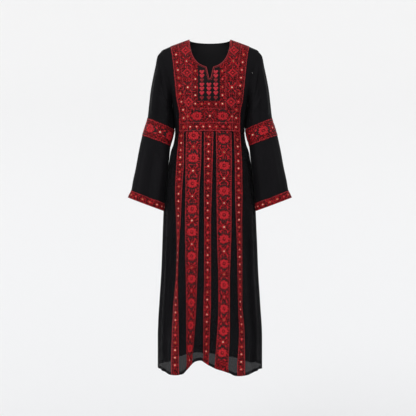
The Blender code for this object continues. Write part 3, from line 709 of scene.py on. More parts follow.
    def chest_grid(self) -> tuple[Array, Array]:
        """Angles and heights of the columns between the chest panel's edges, from the hem up."""
        body = self.body
        columns = np.arange(self.chest_columns * self.fine_across + 1) / self.fine_across
        top_across, top_height = self.neckline(columns)
        steps = self.middle_steps()[:, None]
        hem = np.full_like(columns, body.hem)
        low_angle = body.angle_of(self.band_across(hem, columns), hem)
        low = body.hem_height(low_angle, Side.FRONT)
        skirt_height = low + (body.waist - low) * self.skirt_steps()[:, None]
        skirt_angle = body.angle_of(self.band_across(skirt_height, columns), skirt_height)
        waist_across = self.band_across(np.full_like(columns, body.waist), columns)
        height = body.waist + (top_height - body.waist) * steps
        across = waist_across + (top_across - waist_across) * self.spread(steps)
        half = np.minimum(columns, self.chest_columns - columns)
        ease = np.interp(half, np.arange(len(self.neck_ease)), self.neck_ease) / 1000.0
        ease = ease * steps**4 * np.sqrt(1.0 - steps) / self.neck_ease_peak
        angle = body.angle_of(across + np.sign(top_across) * ease, height)
        seam = half <= self.neck_column
        angle[-1, seam] = QUARTER * np.sign(top_across[seam])
        angle = np.concatenate([skirt_angle, angle[1:]])
        return angle, np.concatenate([skirt_height, height[1:]])

    def edge_across(self, height: Array, hand: Hand) -> Array:
        """Distance across of the chest panel's edge above the waist, or the band's below."""
        column = 0 if hand is Hand.RIGHT else -1
        waist = abs(float(self.edges[column](self.body.waist)))
        seam = float(self.body.seam_height(self.chest_top_edge))
        up = (height - self.body.waist) / (seam - self.body.waist)
        above = waist + (self.chest_top_edge - waist) * self.spread(up)
        return np.where(height < self.body.waist, np.abs(self.edges[column](height)), above)

    def side_grid(self, hand: Hand) -> tuple[Array, Array]:
        """Angles and heights of the columns from the side seam to the chest panel's edge.

        Args:
            hand: the wearer's right or left.

        Returns:
            Angles, counted outwards, and heights.
        """
        body = self.body
        count = self.side_columns * self.fine_across
        part = np.arange(count) / count
        hem = np.array([body.hem])
        hem_edge = body.angle_of(self.edge_across(hem, hand), hem)[0]
        low = body.hem_height(QUARTER - (QUARTER - hem_edge) * part, Side.FRONT)
        skirt_height = low + (body.waist - low) * self.skirt_steps()[:, None]
        skirt_edge = body.angle_of(self.edge_across(skirt_height, hand), skirt_height)
        skirt_angle = QUARTER - (QUARTER - skirt_edge) * part
        top = body.seam_height(body.shoulder_end - (body.shoulder_end - self.chest_top_edge) * part)
        edge_steps = self.edge_steps()[:, None]
        steps = edge_steps + (self.middle_steps()[:, None] - edge_steps) * smooth(part)
        height = body.waist + (top - body.waist) * steps
        low_crowd, high_crowd = self.edge_crowding
        crowd = 2.0 - smooth((height - low_crowd) / (high_crowd - low_crowd))
        edge = body.boundary(height)
        across = edge - (edge - self.edge_across(height, hand)) * part**crowd
        angle = body.angle_of(across, height)
        angle[-1] = QUARTER
        angle[: self.underarm_rows * self.fine_down + 1, 0] = QUARTER
        angle = np.concatenate([skirt_angle, angle[1:]])
        return angle, np.concatenate([skirt_height, height[1:]])

    def grid(self) -> ClothGrid:
        """The whole front, rows from the hem up and columns from the wearer's right."""
        chest_angle, chest_height = self.chest_grid()
        right_angle, right_height = self.side_grid(Hand.RIGHT)
        left_angle, left_height = self.side_grid(Hand.LEFT)
        angle = np.concatenate([-right_angle, chest_angle, left_angle[:, ::-1]], axis=1)
        height = np.concatenate([right_height, chest_height, left_height[:, ::-1]], axis=1)
        return ClothGrid(*self.body.cloth(angle, height, Side.FRONT))

    def columns_of(self, band: int) -> slice:
        """Columns of the whole front that one band takes, 0 at the wearer's right."""
        starts = np.concatenate([[0], np.cumsum(self.band_columns)]) + self.side_columns
        first, last = starts[2 * band], starts[2 * band + 1]
        return slice(int(first) * self.fine_across, int(last) * self.fine_across + 1)

    def chest_slice(self) -> slice:
        """Columns of the whole front that the chest panel takes."""
        first = self.side_columns * self.fine_across
        return slice(first, first + self.chest_columns * self.fine_across + 1)


@dataclass
class BackCut:
    """The back's lines, drawn up from the hem to the shoulder seams and the back neck."""

    body: BodyForm
    front: FrontCut
    half_columns: int = 18
    shoulder_columns: int = 8
    seam_blend: int = 6
    neck_dip: float = 0.0032

    def grid(self) -> ClothGrid:
        """The whole back, rows from the hem up and columns from the wearer's right."""
        body, front = self.body, self.front
        fine = front.fine_across
        columns = np.arange(-self.half_columns * fine, self.half_columns * fine + 1) / fine
        from_edge = self.half_columns - np.abs(columns)
        sign = np.where(columns > 0, 1.0, -1.0)
        turn = QUARTER * (1.0 - from_edge / self.half_columns)
        on_seam = from_edge <= self.shoulder_columns
        part = np.minimum(from_edge / self.shoulder_columns, 1.0)
        seam_across = body.shoulder_end - (body.shoulder_end - front.neck_half_width) * part
        past = np.clip(from_edge - self.shoulder_columns, 0.0, None)
        past = past / (self.half_columns - self.shoulder_columns)
        neck_across = front.neck_half_width * np.cos(QUARTER * past)
        neck_top = front.neck_height - self.neck_dip * np.sin(QUARTER * past) ** 2
        top_across = np.where(on_seam, seam_across, neck_across)
        top = np.where(on_seam, body.seam_height(seam_across), neck_top)
        low = body.hem_height(sign * turn, Side.BACK)
        skirt_height = low + (body.waist - low) * front.skirt_steps()[:, None]
        skirt_angle = sign * turn + 0.0 * skirt_height
        edge_steps = front.edge_steps()[:, None]
        inner = smooth(from_edge / self.seam_blend)
        steps = edge_steps + (front.middle_steps()[:, None] - edge_steps) * inner
        height = body.waist + (top - body.waist) * steps
        waist_part = np.sin(turn) ** (2.0 / body.slice_power)
        top_part = top_across / body.shoulder_end
        across = body.boundary(height) * (waist_part + (top_part - waist_part) * steps)
        angle = sign * body.angle_of(across, height)
        angle[-1, on_seam] = sign[on_seam] * QUARTER
        low_rows = front.underarm_rows * front.fine_down + 1
        angle[:low_rows, [0, -1]] = sign[[0, -1]] * QUARTER
        angle = np.concatenate([skirt_angle, angle[1:]])
        height = np.concatenate([skirt_height, height[1:]])
        return ClothGrid(*body.cloth(angle, height, Side.BACK))


@dataclass
class SleeveForm:
    """A long sleeve that widens to the wrist: tilted ovals carried from armhole to cuff.

    Rings holds, for each oval, the outer end's x and z, the inner end's x and z, the half depth
    front to back, and how far the middle lies forward. A turn of 0 is the sleeve's upper edge,
    a quarter its front, a half its underarm. The level of a fold is minus the ring's number.
    """

    body: BodyForm
    hand: Hand
    rings: Table = (
        (0.205, -0.025, 0.16, -0.245, 0.052, 0), (0.2195, -0.044, 0.16, -0.254, 0.056, 0),
        (0.2285, -0.088, 0.1578, -0.264, 0.06, 0.001), (0.2395, -0.14, 0.1548, -0.28, 0.062, 0.002),
        (0.2485, -0.192, 0.1513, -0.302, 0.062, 0.004),
        (0.2545, -0.246, 0.1488, -0.328, 0.061, 0.006),
        (0.2612, -0.3055, 0.1482, -0.3535, 0.059, 0.009),
        (0.2715, -0.342, 0.155, -0.387, 0.0575, 0.012),
        (0.2827, -0.3782, 0.1643, -0.4227, 0.056, 0.015),
        (0.2965, -0.445, 0.1708, -0.49, 0.053, 0.023), (0.308, -0.512, 0.1792, -0.56, 0.051, 0.03),
        (0.3195, -0.567, 0.1855, -0.62, 0.05, 0.035),
        (0.3265, -0.6074, 0.1882, -0.661, 0.049, 0.038),
        (0.3398, -0.6371, 0.1905, -0.6931, 0.048, 0.041),
    )
    blend_rings: float = 3.0
    armhole_gap: float = 0.0001
    columns: int = 96
    fine_rings: int = 8
    degree: float = 0.00095
    ring_length: float = 0.050
    step: float = 0.02
    gap_rings: float = 0.3
    folds: tuple[Fold, ...] = many(
        Fold,
        (52, 0.0067, 9, -0.8, -2.6, -5, -6), (78, -0.0075, 8, -1.2, -3.2, -5.6, -6.6),
        (112, 0.0083, 9, -0.6, -2.4, -5.4, -6.4), (143, -0.0067, 8, -1, -2.8, -5.2, -6.2),
        (66, 0.0053, 8, -7.6, -9.4, -11.6, -13.2), (96, -0.006, 8, -7.8, -9.8, -12, -13.4),
        (128, 0.0063, 9, -7.4, -9.2, -11.8, -13.2), (205, 0.0075, 9, -0.8, -2.8, -5.2, -6.4),
        (236, -0.0078, 8, -1.4, -3.2, -5.4, -6.4), (268, 0.0072, 9, -0.8, -2.6, -5, -6),
        (300, -0.0067, 8, -1.2, -3, -5.6, -6.6), (222, 0.006, 9, -7.6, -9.6, -11.8, -13.2),
        (254, -0.0066, 8, -7.8, -9.6, -12.2, -13.4), (286, 0.006, 9, -7.6, -9.4, -11.6, -13.2),
    )
    creases: tuple[Crease, ...] = many(
        Crease,
        (30, -0.6, 135, -3.6, -0.0059, 0.006), (48, -3, 150, -5.4, 0.0051, 0.0065),
        (96, -8.2, 150, -9.6, -0.0044, 0.006), (330, -0.7, 228, -3.8, -0.0061, 0.0065),
        (310, -3.2, 215, -5.3, 0.0054, 0.006), (262, -8.4, 212, -10, -0.0048, 0.006),
    )

    def __post_init__(self) -> None:
        """Makes the smooth curves of the rings' table, over the rings' numbers."""
        numbers = np.arange(len(self.rings))
        self.curves = [Curve(numbers, column) for column in np.array(self.rings).T]
        self.last_ring = len(self.rings) - 1

    def armhole(self, turn: Array) -> Array:
        """Points of the right armhole, which lies on the front cloth and then on the back's."""
        body = self.body
        height = body.armhole_middle + body.armhole_half * np.cos(turn)
        angle = -body.angle_of(body.boundary(height), height)
        before = body.cloth(angle, height, Side.FRONT)[0]
        behind = body.cloth(angle, height, Side.BACK)[0]
        points = np.where(np.sin(turn)[..., None] >= 0, before, behind)
        end = np.isclose(np.abs(np.cos(turn)), 1.0)
        points[end, 1] = 0.0
        return points

    def plain(self, turn: Array, ring: Array) -> Array:
        """Points of the right sleeve: an oval at each ring, drawn to the armhole at the top."""
        pull = self.armhole(turn) - self.oval(turn, self.rings[0])
        keep = 1.0 - smooth(ring / self.blend_rings)
        return self.oval(turn, [curve(ring) for curve in self.curves]) + pull * keep[..., None]

    def oval(self, turn: Array, sizes: Any) -> Array:
        """Points of an oval, by its two ends, its half depth and how far forward it lies."""
        outer_x, outer_z, inner_x, inner_z, depth, forward = sizes
        over = np.cos(turn)
        across = -(outer_x + inner_x) / 2.0 - over * (outer_x - inner_x) / 2.0
        height = (outer_z + inner_z) / 2.0 + over * (outer_z - inner_z) / 2.0
        return np.stack([across, -forward - depth * np.sin(turn), height], axis=-1)

    def cloth(self, turn: Array, ring: Array) -> tuple[Array, Array]:
        """Points and outward directions of the creased sleeve.

        Args:
            turn: turn round the sleeve, in radians.
            ring: place down the sleeve, in rings.

        Returns:
            The points and the outward directions, on this sleeve's own side.
        """
        points = self.plain(turn, ring)
        over = self.plain(turn + self.step, ring) - self.plain(turn - self.step, ring)
        above = np.maximum(ring - self.step, 0.0)
        down = self.plain(turn, ring + self.step) - self.plain(turn, above)
        away = unit(np.cross(down, over))
        degrees = np.degrees(turn) % 360.0
        push = pushed(self.folds, degrees, -ring)
        push = push + pushed(self.creases, degrees, -ring, self.degree, self.ring_length)
        points = points + push[..., None] * away
        near = (1.0 - smooth(ring / self.gap_rings))[..., None]
        points = points + self.armhole_gap * near * unit(down)
        mirror = np.array([-float(self.hand.value), 1.0, 1.0])
        return points * mirror, away * mirror

    def grid(self) -> ClothGrid:
        """The whole sleeve, rows from the armhole down and columns round it."""
        turn = FULL_TURN * np.arange(self.columns) / self.columns
        ring = np.arange(self.last_ring * self.fine_rings + 1) / self.fine_rings
        turns, rings = np.meshgrid(turn, ring)
        return ClothGrid(*self.cloth(turns, rings), around=True)

    def rows(self, first: int, last: int) -> slice:
        """Rows of the sleeve from one ring to another."""
        return slice(first * self.fine_rings, last * self.fine_rings + 1)


@dataclass
class LiningForm:
    """The lining tube, which hangs inside the skirt from the waist.

    Rows holds heights and how far the lining hangs inside. Hem edge holds the height of its
    lower edge at distances across, in front and behind alike.
    """

    body: BodyForm
    rows: Table = (
        (-0.372, 0.0025), (-0.4, 0.006), (-0.44, 0.008), (-0.5, 0.0085), (-0.62, 0.01),
        (-0.82, 0.013), (-1.05, 0.018), (-1.287, 0.023),
    )
    hem_edge: Table = (
        (-0.19, -1.316), (-0.121, -1.276), (-0.052, -1.251), (0.009, -1.271), (0.098, -1.284),
        (0.19, -1.318),
    )
    top: float = -0.372
    hem_level: float = -1.28
    folded: float = 0.5
    columns: int = 112
    levels: int = 44

    def grid(self) -> ClothGrid:
        """The whole tube, rows from the waist down and columns round it."""
        turn = FULL_TURN * np.arange(self.columns) / self.columns - math.pi
        behind = np.arctan2(np.sin(turn), -np.cos(turn))
        in_front = np.cos(turn) > -1e-9
        reach = self.body.half_width(np.full_like(turn, self.hem_level)) * np.sin(turn)
        low = curve_of(self.hem_edge)(reach)
        part = np.linspace(0.0, 1.0, self.levels + 1)[:, None]
        height = self.top + (low - self.top) * part
        inset = curve_of(self.rows)(height)
        near = self.hung(turn + 0.0 * height, height, Side.FRONT, inset)
        far = self.hung(behind + 0.0 * height, height, Side.BACK, inset)
        points = np.where(in_front[None, :, None], near, far)
        over = np.roll(points, -1, axis=1) - np.roll(points, 1, axis=1)
        away = unit(np.cross(over, np.gradient(points, axis=0)))
        middle = np.array([0.0, 0.0, 1.0]) * points
        outwards = np.sign(np.sum(away * (points - middle)))
        return ClothGrid(points, away * outwards, around=True)

    def hung(self, angle: Array, height: Array, side: Side, inset: Array) -> Array:
        """Points inside the dress with a part of its main folds."""
        return self.body.plain(angle, height, side, inset, self.folded)


class Ground(Protocol):
    """A cloth that embroidery lies on."""

    def place(self, across: Array, along: Array) -> tuple[Array, Array]:
        """Points and outward directions at distances across and along the embroidery."""


@dataclass
class ChestGround:
    """The chest panel: across is X and along is the height."""

    body: BodyForm

    def place(self, across: Array, along: Array) -> tuple[Array, Array]:
        """Points and outward directions of the front at a distance across and a height."""
        return self.body.cloth(self.body.angle_of(across, along), along, Side.FRONT)


@dataclass
class BandGround:
    """One skirt band, drawn in as the band narrows: across is from its middle line."""

    cut: FrontCut
    band: int
    width: float

    def place(self, across: Array, along: Array) -> tuple[Array, Array]:
        """Points and outward directions, the width stretched between the band's two edges."""
        left = self.cut.edges[2 * self.band](along)
        right = self.cut.edges[2 * self.band + 1](along)
        x = left + (right - left) * (0.5 + across / self.width)
        return self.cut.body.cloth(self.cut.body.angle_of(x, along), along, Side.FRONT)


@dataclass
class HemGround:
    """The skirt's hem on one side: across is up from the hem, along is round it."""

    body: BodyForm
    side: Side
    radius: float

    def place(self, across: Array, along: Array) -> tuple[Array, Array]:
        """Points and outward directions, the length round the hem taken as a turn."""
        angle = np.clip(along / self.radius, -QUARTER, QUARTER)
        return self.body.cloth(angle, self.body.hem_height(angle, self.side) + across, self.side)


@dataclass
class SleeveGround:
    """A band round a sleeve: across is down the sleeve, along is round it from the front."""

    sleeve: SleeveForm
    first_ring: float
    last_ring: float
    width: float
    girth: float

    def place(self, across: Array, along: Array) -> tuple[Array, Array]:
        """Points and outward directions, the width stretched between the band's two rings."""
        middle = (self.first_ring + self.last_ring) / 2.0
        ring = middle + (self.last_ring - self.first_ring) * across / self.width
        turn = QUARTER + FULL_TURN * along / self.girth
        return self.sleeve.cloth(turn, ring)


@dataclass
class Stitches:
    """Many stitched blocks, each with its place, size, turn, height, colour and outline."""

    across: Array
    along: Array
    length: Array
    width: Array
    turn: Array
    rise: Array
    tone: Array
    taper: Array

    @staticmethod
    def of(rows: list[tuple]) -> "Stitches":
        """Stitches from rows of across, along, length, width, degrees, rise, tone, outline."""
        numbers = np.array([row[:6] for row in rows], float)
        tone = np.array([row[6].value for row in rows], float)
        taper = np.array([row[7].value for row in rows], float)
        across, along, length, width, degrees, rise = numbers.T
        return Stitches(across, along, length, width, np.radians(degrees), rise, tone, taper)

    @staticmethod
    def joined(parts: list["Stitches"]) -> "Stitches":
        """All stitches of several groups."""
        names = Stitches.__dataclass_fields__
        return Stitches(*(np.concatenate([getattr(part, name) for part in parts]) for name in names))

    def placed(self, across: Any, along: Any, scale: Any = 1.0, degrees: Any = 0.0) -> "Stitches":
        """A copy at each of several places: turned, scaled, then moved.

        Args:
            across: distances across of the places.
            along: distances along of the places.
            scale: size of each copy.
            degrees: turn of each copy.

        Returns:
            All the copies' stitches.
        """
        across, along = np.broadcast_arrays(np.atleast_1d(across), along)
        size = np.broadcast_to(np.asarray(scale, float), across.shape)[:, None]
        turn = np.broadcast_to(np.radians(degrees), across.shape)[:, None]
        cosine, sine = np.cos(turn), np.sin(turn)
        over = across[:, None] + size * (self.across * cosine - self.along * sine)
        up = along[:, None] + size * (self.across * sine + self.along * cosine)
        placed = (over, up, size * self.length, size * self.width, turn + self.turn)
        kept = (self.rise[:, None], self.tone, self.taper)
        rise, tone, taper = (np.tile(values, (len(across), 1)) for values in kept)
        return Stitches(*(values.ravel() for values in placed), rise[:, 0], tone, taper)


@dataclass(frozen=True)
class Motifs:
    """Traditional cross-stitch motifs, each drawn round its own middle for a radius of one."""

    rise: float = 0.0007
    dot_rise: float = 0.0013
    knot_order: tuple[Tone, ...] = (
        Tone.CREAM, Tone.CREAM, Tone.GOLD, Tone.CREAM, Tone.CORAL, Tone.CREAM, Tone.GOLD,
    )
    knot_first: int = 2
    knot_skip: int = 5
    knot_unevenness: float = 0.14
    knot_swing: float = 2.4
    plait_lean: float = 14.0
    plait_reach: float = 0.3
    plait_overlap: float = 1.15

    def ring(
        self, count: int, radius: float, block: tuple[float, float], tone: Tone,
        outline: Outline, start: float = 0.0, raised: float = 1.0,
    ) -> list[tuple]:
        """Rows for blocks set round a circle, each pointing away from its middle.

        Args:
            count: number of blocks.
            radius: radius of the circle.
            block: length and width of each block.
            tone: thread colour.
            outline: outline of each block.
            start: direction of the first block, in degrees.
            raised: how high the blocks stand, in common stitches.

        Returns:
            The rows.
        """
        rows = []
        for step in range(count):
            degrees = start + 360.0 * step / count
            turn = math.radians(degrees)
            place = (radius * math.cos(turn), radius * math.sin(turn))
            rows.append((*place, *block, degrees, raised * self.rise, tone, outline))
        return rows

    def fan(
        self, middle: float, leans: tuple[float, ...], reach: float, block: tuple[float, float],
        follow: float, tone: Tone, outline: Outline,
    ) -> list[tuple]:
        """Rows for blocks spread on an arc.

        Args:
            middle: direction of the arc's middle, in degrees.
            leans: degrees from that middle at which the blocks lie.
            reach: radius of the arc.
            block: length and width of each block.
            follow: how far each block turns with its lean, with 90 more to lie along the arc.
            tone: thread colour.
            outline: outline of each block.

        Returns:
            The rows.
        """
        across = 90.0 if follow >= 90.0 else 0.0
        rows = []
        for lean in leans:
            turn = math.radians(middle + lean)
            place = (reach * math.cos(turn), reach * math.sin(turn))
            degrees = middle + (follow - across) * lean + across
            rows.append((*place, *block, degrees, self.rise, tone, outline))
        return rows

    def fans(self, middles: tuple[float, ...], *fans: tuple) -> list[tuple]:
        """Rows of the same fans in each of several directions."""
        return [row for middle in middles for fan in fans for row in self.fan(middle, *fan)]

    def spot(
        self, across: float, along: float, size: tuple[float, float], tone: Tone,
        raised: float = 1.0, degrees: float = 0.0,
    ) -> tuple:
        """The row of one round block."""
        return (across, along, *size, degrees, raised * self.rise, tone, Outline.ROUND)

    def rosette(self) -> Stitches:
        """A full flower, wider than it is high, between two thick dark arcs with leaves beyond."""
        dark, bright = Tone.BLACK, Tone.BRIGHT
        round_, leaf = Outline.ROUND, Outline.LEAF
        rows = self.ring(10, 0.62, (0.66, 0.44), bright, round_, 18.0, 1.5)
        rows += self.ring(10, 0.74, (0.34, 0.10), dark, leaf, 0.0, 1.9)
        rows += self.ring(8, 0.55, (0.22, 0.11), dark, leaf, 22.5, 2.1)
        rows += self.ring(6, 0.36, (0.34, 0.20), Tone.RED, leaf, 15.0, 1.9)
        rows += self.fan(250.0, (-34.0, 0.0, 34.0), 0.40, (0.24, 0.12), 91.0, dark, round_)
        rows += self.fans(
            (90.0, 270.0),
            ((-56.0, -40.0, 40.0, 56.0), 1.15, (0.42, 0.30), 91.0, dark, round_),
            ((-24.0, -8.0, 8.0, 24.0), 1.20, (0.46, 0.50), 91.0, dark, round_),
            ((-42.0, 42.0), 1.58, (0.60, 0.34), 1.2, dark, leaf),
            ((-28.0, 28.0), 1.60, (0.74, 0.22), 1.3, bright, leaf),
            ((-12.0, 12.0), 1.62, (0.50, 0.30), 1.0, dark, leaf),
        )
        rows += self.fans(
            (0.0, 180.0),
            ((-34.0, 34.0), 0.92, (0.46, 0.42), 1.0, bright, round_),
            ((0.0,), 0.96, (0.44, 0.44), 1.0, bright, round_),
            ((-18.0, 18.0), 0.96, (0.42, 0.10), 1.0, dark, leaf),
        )
        raised = self.dot_rise / self.rise
        rows.append(self.spot(0.0, 0.0, (0.30, 0.30), bright, raised))
        rows.append(self.spot(0.06, 0.10, (0.14, 0.14), Tone.CORAL, raised * 1.2))
        return Stitches.of(rows)

    def diamond(self) -> Stitches:
        """A stepped diamond: a middle lozenge in three rows of small blocks, edged darkly."""
        rows = [(0.0, 0.0, 0.44, 0.44, 45.0, self.rise * 1.4, Tone.BRIGHT, Outline.BAR)]
        for reach, count, width, tone in (
            (0.46, 2, 0.13, Tone.BLACK),
            (0.70, 3, 0.26, Tone.BRIGHT),
            (0.95, 4, 0.22, Tone.BRIGHT),
            (1.24, 5, 0.32, Tone.BLACK),
        ):
            for place in range(4 * count):
                quarter, part = place // count, place % count / count
                corner = QUARTER * quarter
                over = math.cos(corner) * (1 - part) + math.cos(corner + QUARTER) * part
                up = math.sin(corner) * (1 - part) + math.sin(corner + QUARTER) * part
                lean = 90.0 * quarter + 135.0
                rows.append(self.spot(reach * over, reach * up, (0.30, width), tone, 1.0, lean))
        rows.append(self.spot(0.0, 0.0, (0.20, 0.20), Tone.ROSE, self.dot_rise / self.rise))
        return Stitches.of(rows)

    def leaf_cross(self) -> Stitches:
        """Four red branches laid crosswise round a star, each edged with dark leaves."""
        dark, bright = Tone.BLACK, Tone.BRIGHT
        leaf, diamond = Outline.LEAF, Outline.DIAMOND
        rows = self.ring(8, 0.32, (0.44, 0.22), bright, diamond, 0.0, 1.3)
        rows += self.ring(4, 0.58, (0.28, 0.26), dark, Outline.ROUND)
        rows += self.fans(
            (50.0, 130.0, 230.0, 310.0),
            ((0.0,), 0.96, (0.96, 0.20), 1.0, bright, leaf),
            ((-19.0, 19.0), 1.04, (0.66, 0.32), 1.3, dark, leaf),
            ((-30.0, 30.0), 1.26, (0.42, 0.18), 1.6, bright, leaf),
        )
        rows += self.fans((90.0, 270.0), ((0.0,), 0.98, (0.46, 0.24), 1.0, dark, diamond))
        rows += self.fans((0.0, 180.0), ((0.0,), 0.92, (0.34, 0.24), 1.0, Tone.RED, diamond))
        return Stitches.of(rows)

    def star_square(self) -> Stitches:
        """An eight-point star between dark blocks, with dark and red blocks above and below."""
        rows = self.ring(4, 0.44, (0.70, 0.36), Tone.BRIGHT, Outline.DIAMOND, 0.0, 1.3)
        rows += self.ring(4, 0.42, (0.64, 0.32), Tone.BRIGHT, Outline.DIAMOND, 45.0, 1.2)
        rows += self.ring(4, 1.02, (0.34, 0.30), Tone.BLACK, Outline.ROUND, 45.0)
        rows += self.ring(8, 0.84, (0.20, 0.14), Tone.BLACK, Outline.DIAMOND, 22.5)
        for up in (-1.32, 1.32):
            rows += [self.spot(over, up, (0.40, 0.20), Tone.RED) for over in (-0.62, 0.62)]
            rows.append(self.spot(0.0, up, (0.46, 0.22), Tone.BLACK))
        return Stitches.of(rows)

    def knots(self, across: Array, along: Array, size: float) -> Stitches:
        """Raised knots at the stars' middles, uneven in size and mostly pale.

        Args:
            across: distances across of the places.
            along: distances along of the places.
            size: width of a middling knot.

        Returns:
            The knots, whose colours go round a fixed order of cream, gold and red.
        """
        index = np.arange(len(along))
        turn = (index * self.knot_skip + self.knot_first) % len(self.knot_order)
        knot = Stitches.of([self.spot(0.0, 0.0, (1.0, 1.0), Tone.CREAM, self.dot_rise / self.rise)])
        uneven = 1.0 + self.knot_unevenness * np.sin(index * self.knot_swing)
        made = knot.placed(across, along, size * uneven)
        made.tone = np.array([self.knot_order[step].value for step in turn])
        return made

    def studded(
        self, motif: Stitches, across: Any, along: Any, size: float, knot: float
    ) -> list[Stitches]:
        """A motif at several places, and a raised knot in the middle of each.

        Args:
            motif: what is sewn at each place.
            across: distances across of the places.
            along: distances along of the places.
            size: size of the motif.
            knot: width of a middling knot.

        Returns:
            The motifs' stitches and the knots.
        """
        across, along = np.broadcast_arrays(across, along)
        return [motif.placed(across, along, size), self.knots(across, along, knot)]

    def heart(self, tone: Tone) -> Stitches:
        """A satin heart: two round lobes over a blunt foot, with a painted highlight on the upper left lobe
        and a short stem.
        """
        rows = [self.spot(over, 0.16, (0.84, 0.78), tone, 1.8, 90.0) for over in (-0.36, 0.36)]
        rows.append(self.spot(0.0, -0.24, (0.90, 1.06), tone, 1.8, 90.0))
        # Painted highlight: a small coral spot standing for a glint of light on the satin.
        rows.append(self.spot(-0.34, 0.26, (0.30, 0.30), Tone.CORAL, 2.52, 60.0))
        rows.append((0.0, -0.86, 0.50, 0.34, 90.0, self.rise, Tone.RED, Outline.LEAF))
        return Stitches.of(rows)

    def line(self, across: Array, along: Array, pitch: float, width: float, tone: Tone) -> Stitches:
        """A row of small stitches along a path, each lying a little over the next.

        Args:
            across: the path's distances across.
            along: the path's distances along.
            pitch: length between stitches.
            width: width of the row.
            tone: thread colour.

        Returns:
            The row's stitches, alternately leaned to make a plait.
        """
        run = np.hypot(np.diff(across), np.diff(along))
        reach = np.concatenate([[0.0], np.cumsum(run)])
        count = max(int(reach[-1] / pitch), 1)
        middle = (np.arange(count) + 0.5) * reach[-1] / count
        near = middle + self.plait_reach * pitch * np.array([[-1.0], [0.0], [1.0]])
        over, up = np.interp(near, reach, across), np.interp(near, reach, along)
        lean = np.radians(self.plait_lean) * (1.0 - 2.0 * (np.arange(count) % 2))
        turn = np.arctan2(up[2] - up[0], over[2] - over[0]) + lean
        ones = np.ones(count)
        sizes = (self.plait_overlap * pitch * ones, width * ones, turn, self.rise * ones)
        looks = (np.tile(value, (count, 1)) for value in (tone.value, Outline.ROUND.value))
        return Stitches(over[1], up[1], *sizes, *looks)

    def both_edges(self, half: Any, along: Array, pitch: float, lines: Lines) -> list[Stitches]:
        """Rows of stitches down both edges of a band.

        Args:
            half: the band's half width, or one for each place along.
            along: distances along.
            pitch: length between stitches.
            lines: how far in each row lies, its width and its thread colour.

        Returns:
            The rows' stitches.
        """
        return [
            self.line(sign * (half - inset) + 0.0 * along, along, pitch, width, tone)
            for inset, width, tone in lines
            for sign in BOTH
        ]


@dataclass
class Embroiderer:
    """Turns stitches into one raised mesh on a ground cloth."""

    finish: bpy.types.Material
    lift: float = 0.0011
    long_steps: int = 4
    wide_steps: int = 3
    least_power: float = 0.35
    sink: float = 0.0002

    def sew(self, name: str, stitches: Stitches, ground: Ground) -> Any:
        """Makes the raised mesh of the stitches.

        Each block is a low dome: it runs along its length, tapers by its outline, and rises by
        the square root of what is left of its width and by a flat bell along its length.

        Args:
            name: the piece's name.
            stitches: what is sewn.
            ground: the cloth it lies on.

        Returns:
            The object.
        """
        ends = np.linspace(-1.0, 1.0, self.long_steps)
        sides = np.linspace(-1.0, 1.0, self.wide_steps)
        power, least = stitches.taper[:, :1], stitches.taper[:, 1:]
        flank = np.abs(ends) ** (1.0 / np.maximum(power, self.least_power))
        narrow = np.maximum(least, (1.0 - flank) ** power)
        run = ends[None, :, None] * stitches.length[:, None, None] / 2.0
        over = sides[None, None, :] * narrow[:, :, None] * stitches.width[:, None, None] / 2.0
        cosine = np.cos(stitches.turn)[:, None, None]
        sine = np.sin(stitches.turn)[:, None, None]
        across = stitches.across[:, None, None] + run * cosine - over * sine
        along = stitches.along[:, None, None] + run * sine + over * cosine
        points, away = ground.place(across, along)
        bell = np.sqrt(np.maximum(0.0, 1.0 - sides**2))[None, None, :]
        crown = (1.0 - np.abs(ends) ** 4)[None, :, None]
        rise = stitches.rise[:, None, None] + self.sink
        height = self.lift - self.sink + rise * bell * crown
        points = points + height[..., None] * away
        cells = corners(np.arange(self.long_steps * self.wide_steps).reshape(self.long_steps, -1))
        block = self.long_steps * self.wide_steps
        faces = (np.arange(len(run))[:, None, None] * block + cells).reshape(-1, 4)
        flat = np.stack([run + 0.0 * over, over], axis=-1).reshape(-1, 2)
        tones = np.broadcast_to(stitches.tone[:, None, None, :], points.shape)
        if not turned_out(points[0], away[0]):
            faces = faces[:, ::-1]
        draft = MeshDraft()
        draft.add(points, faces, flat[faces], tones)
        return draft.build(name, self.finish)


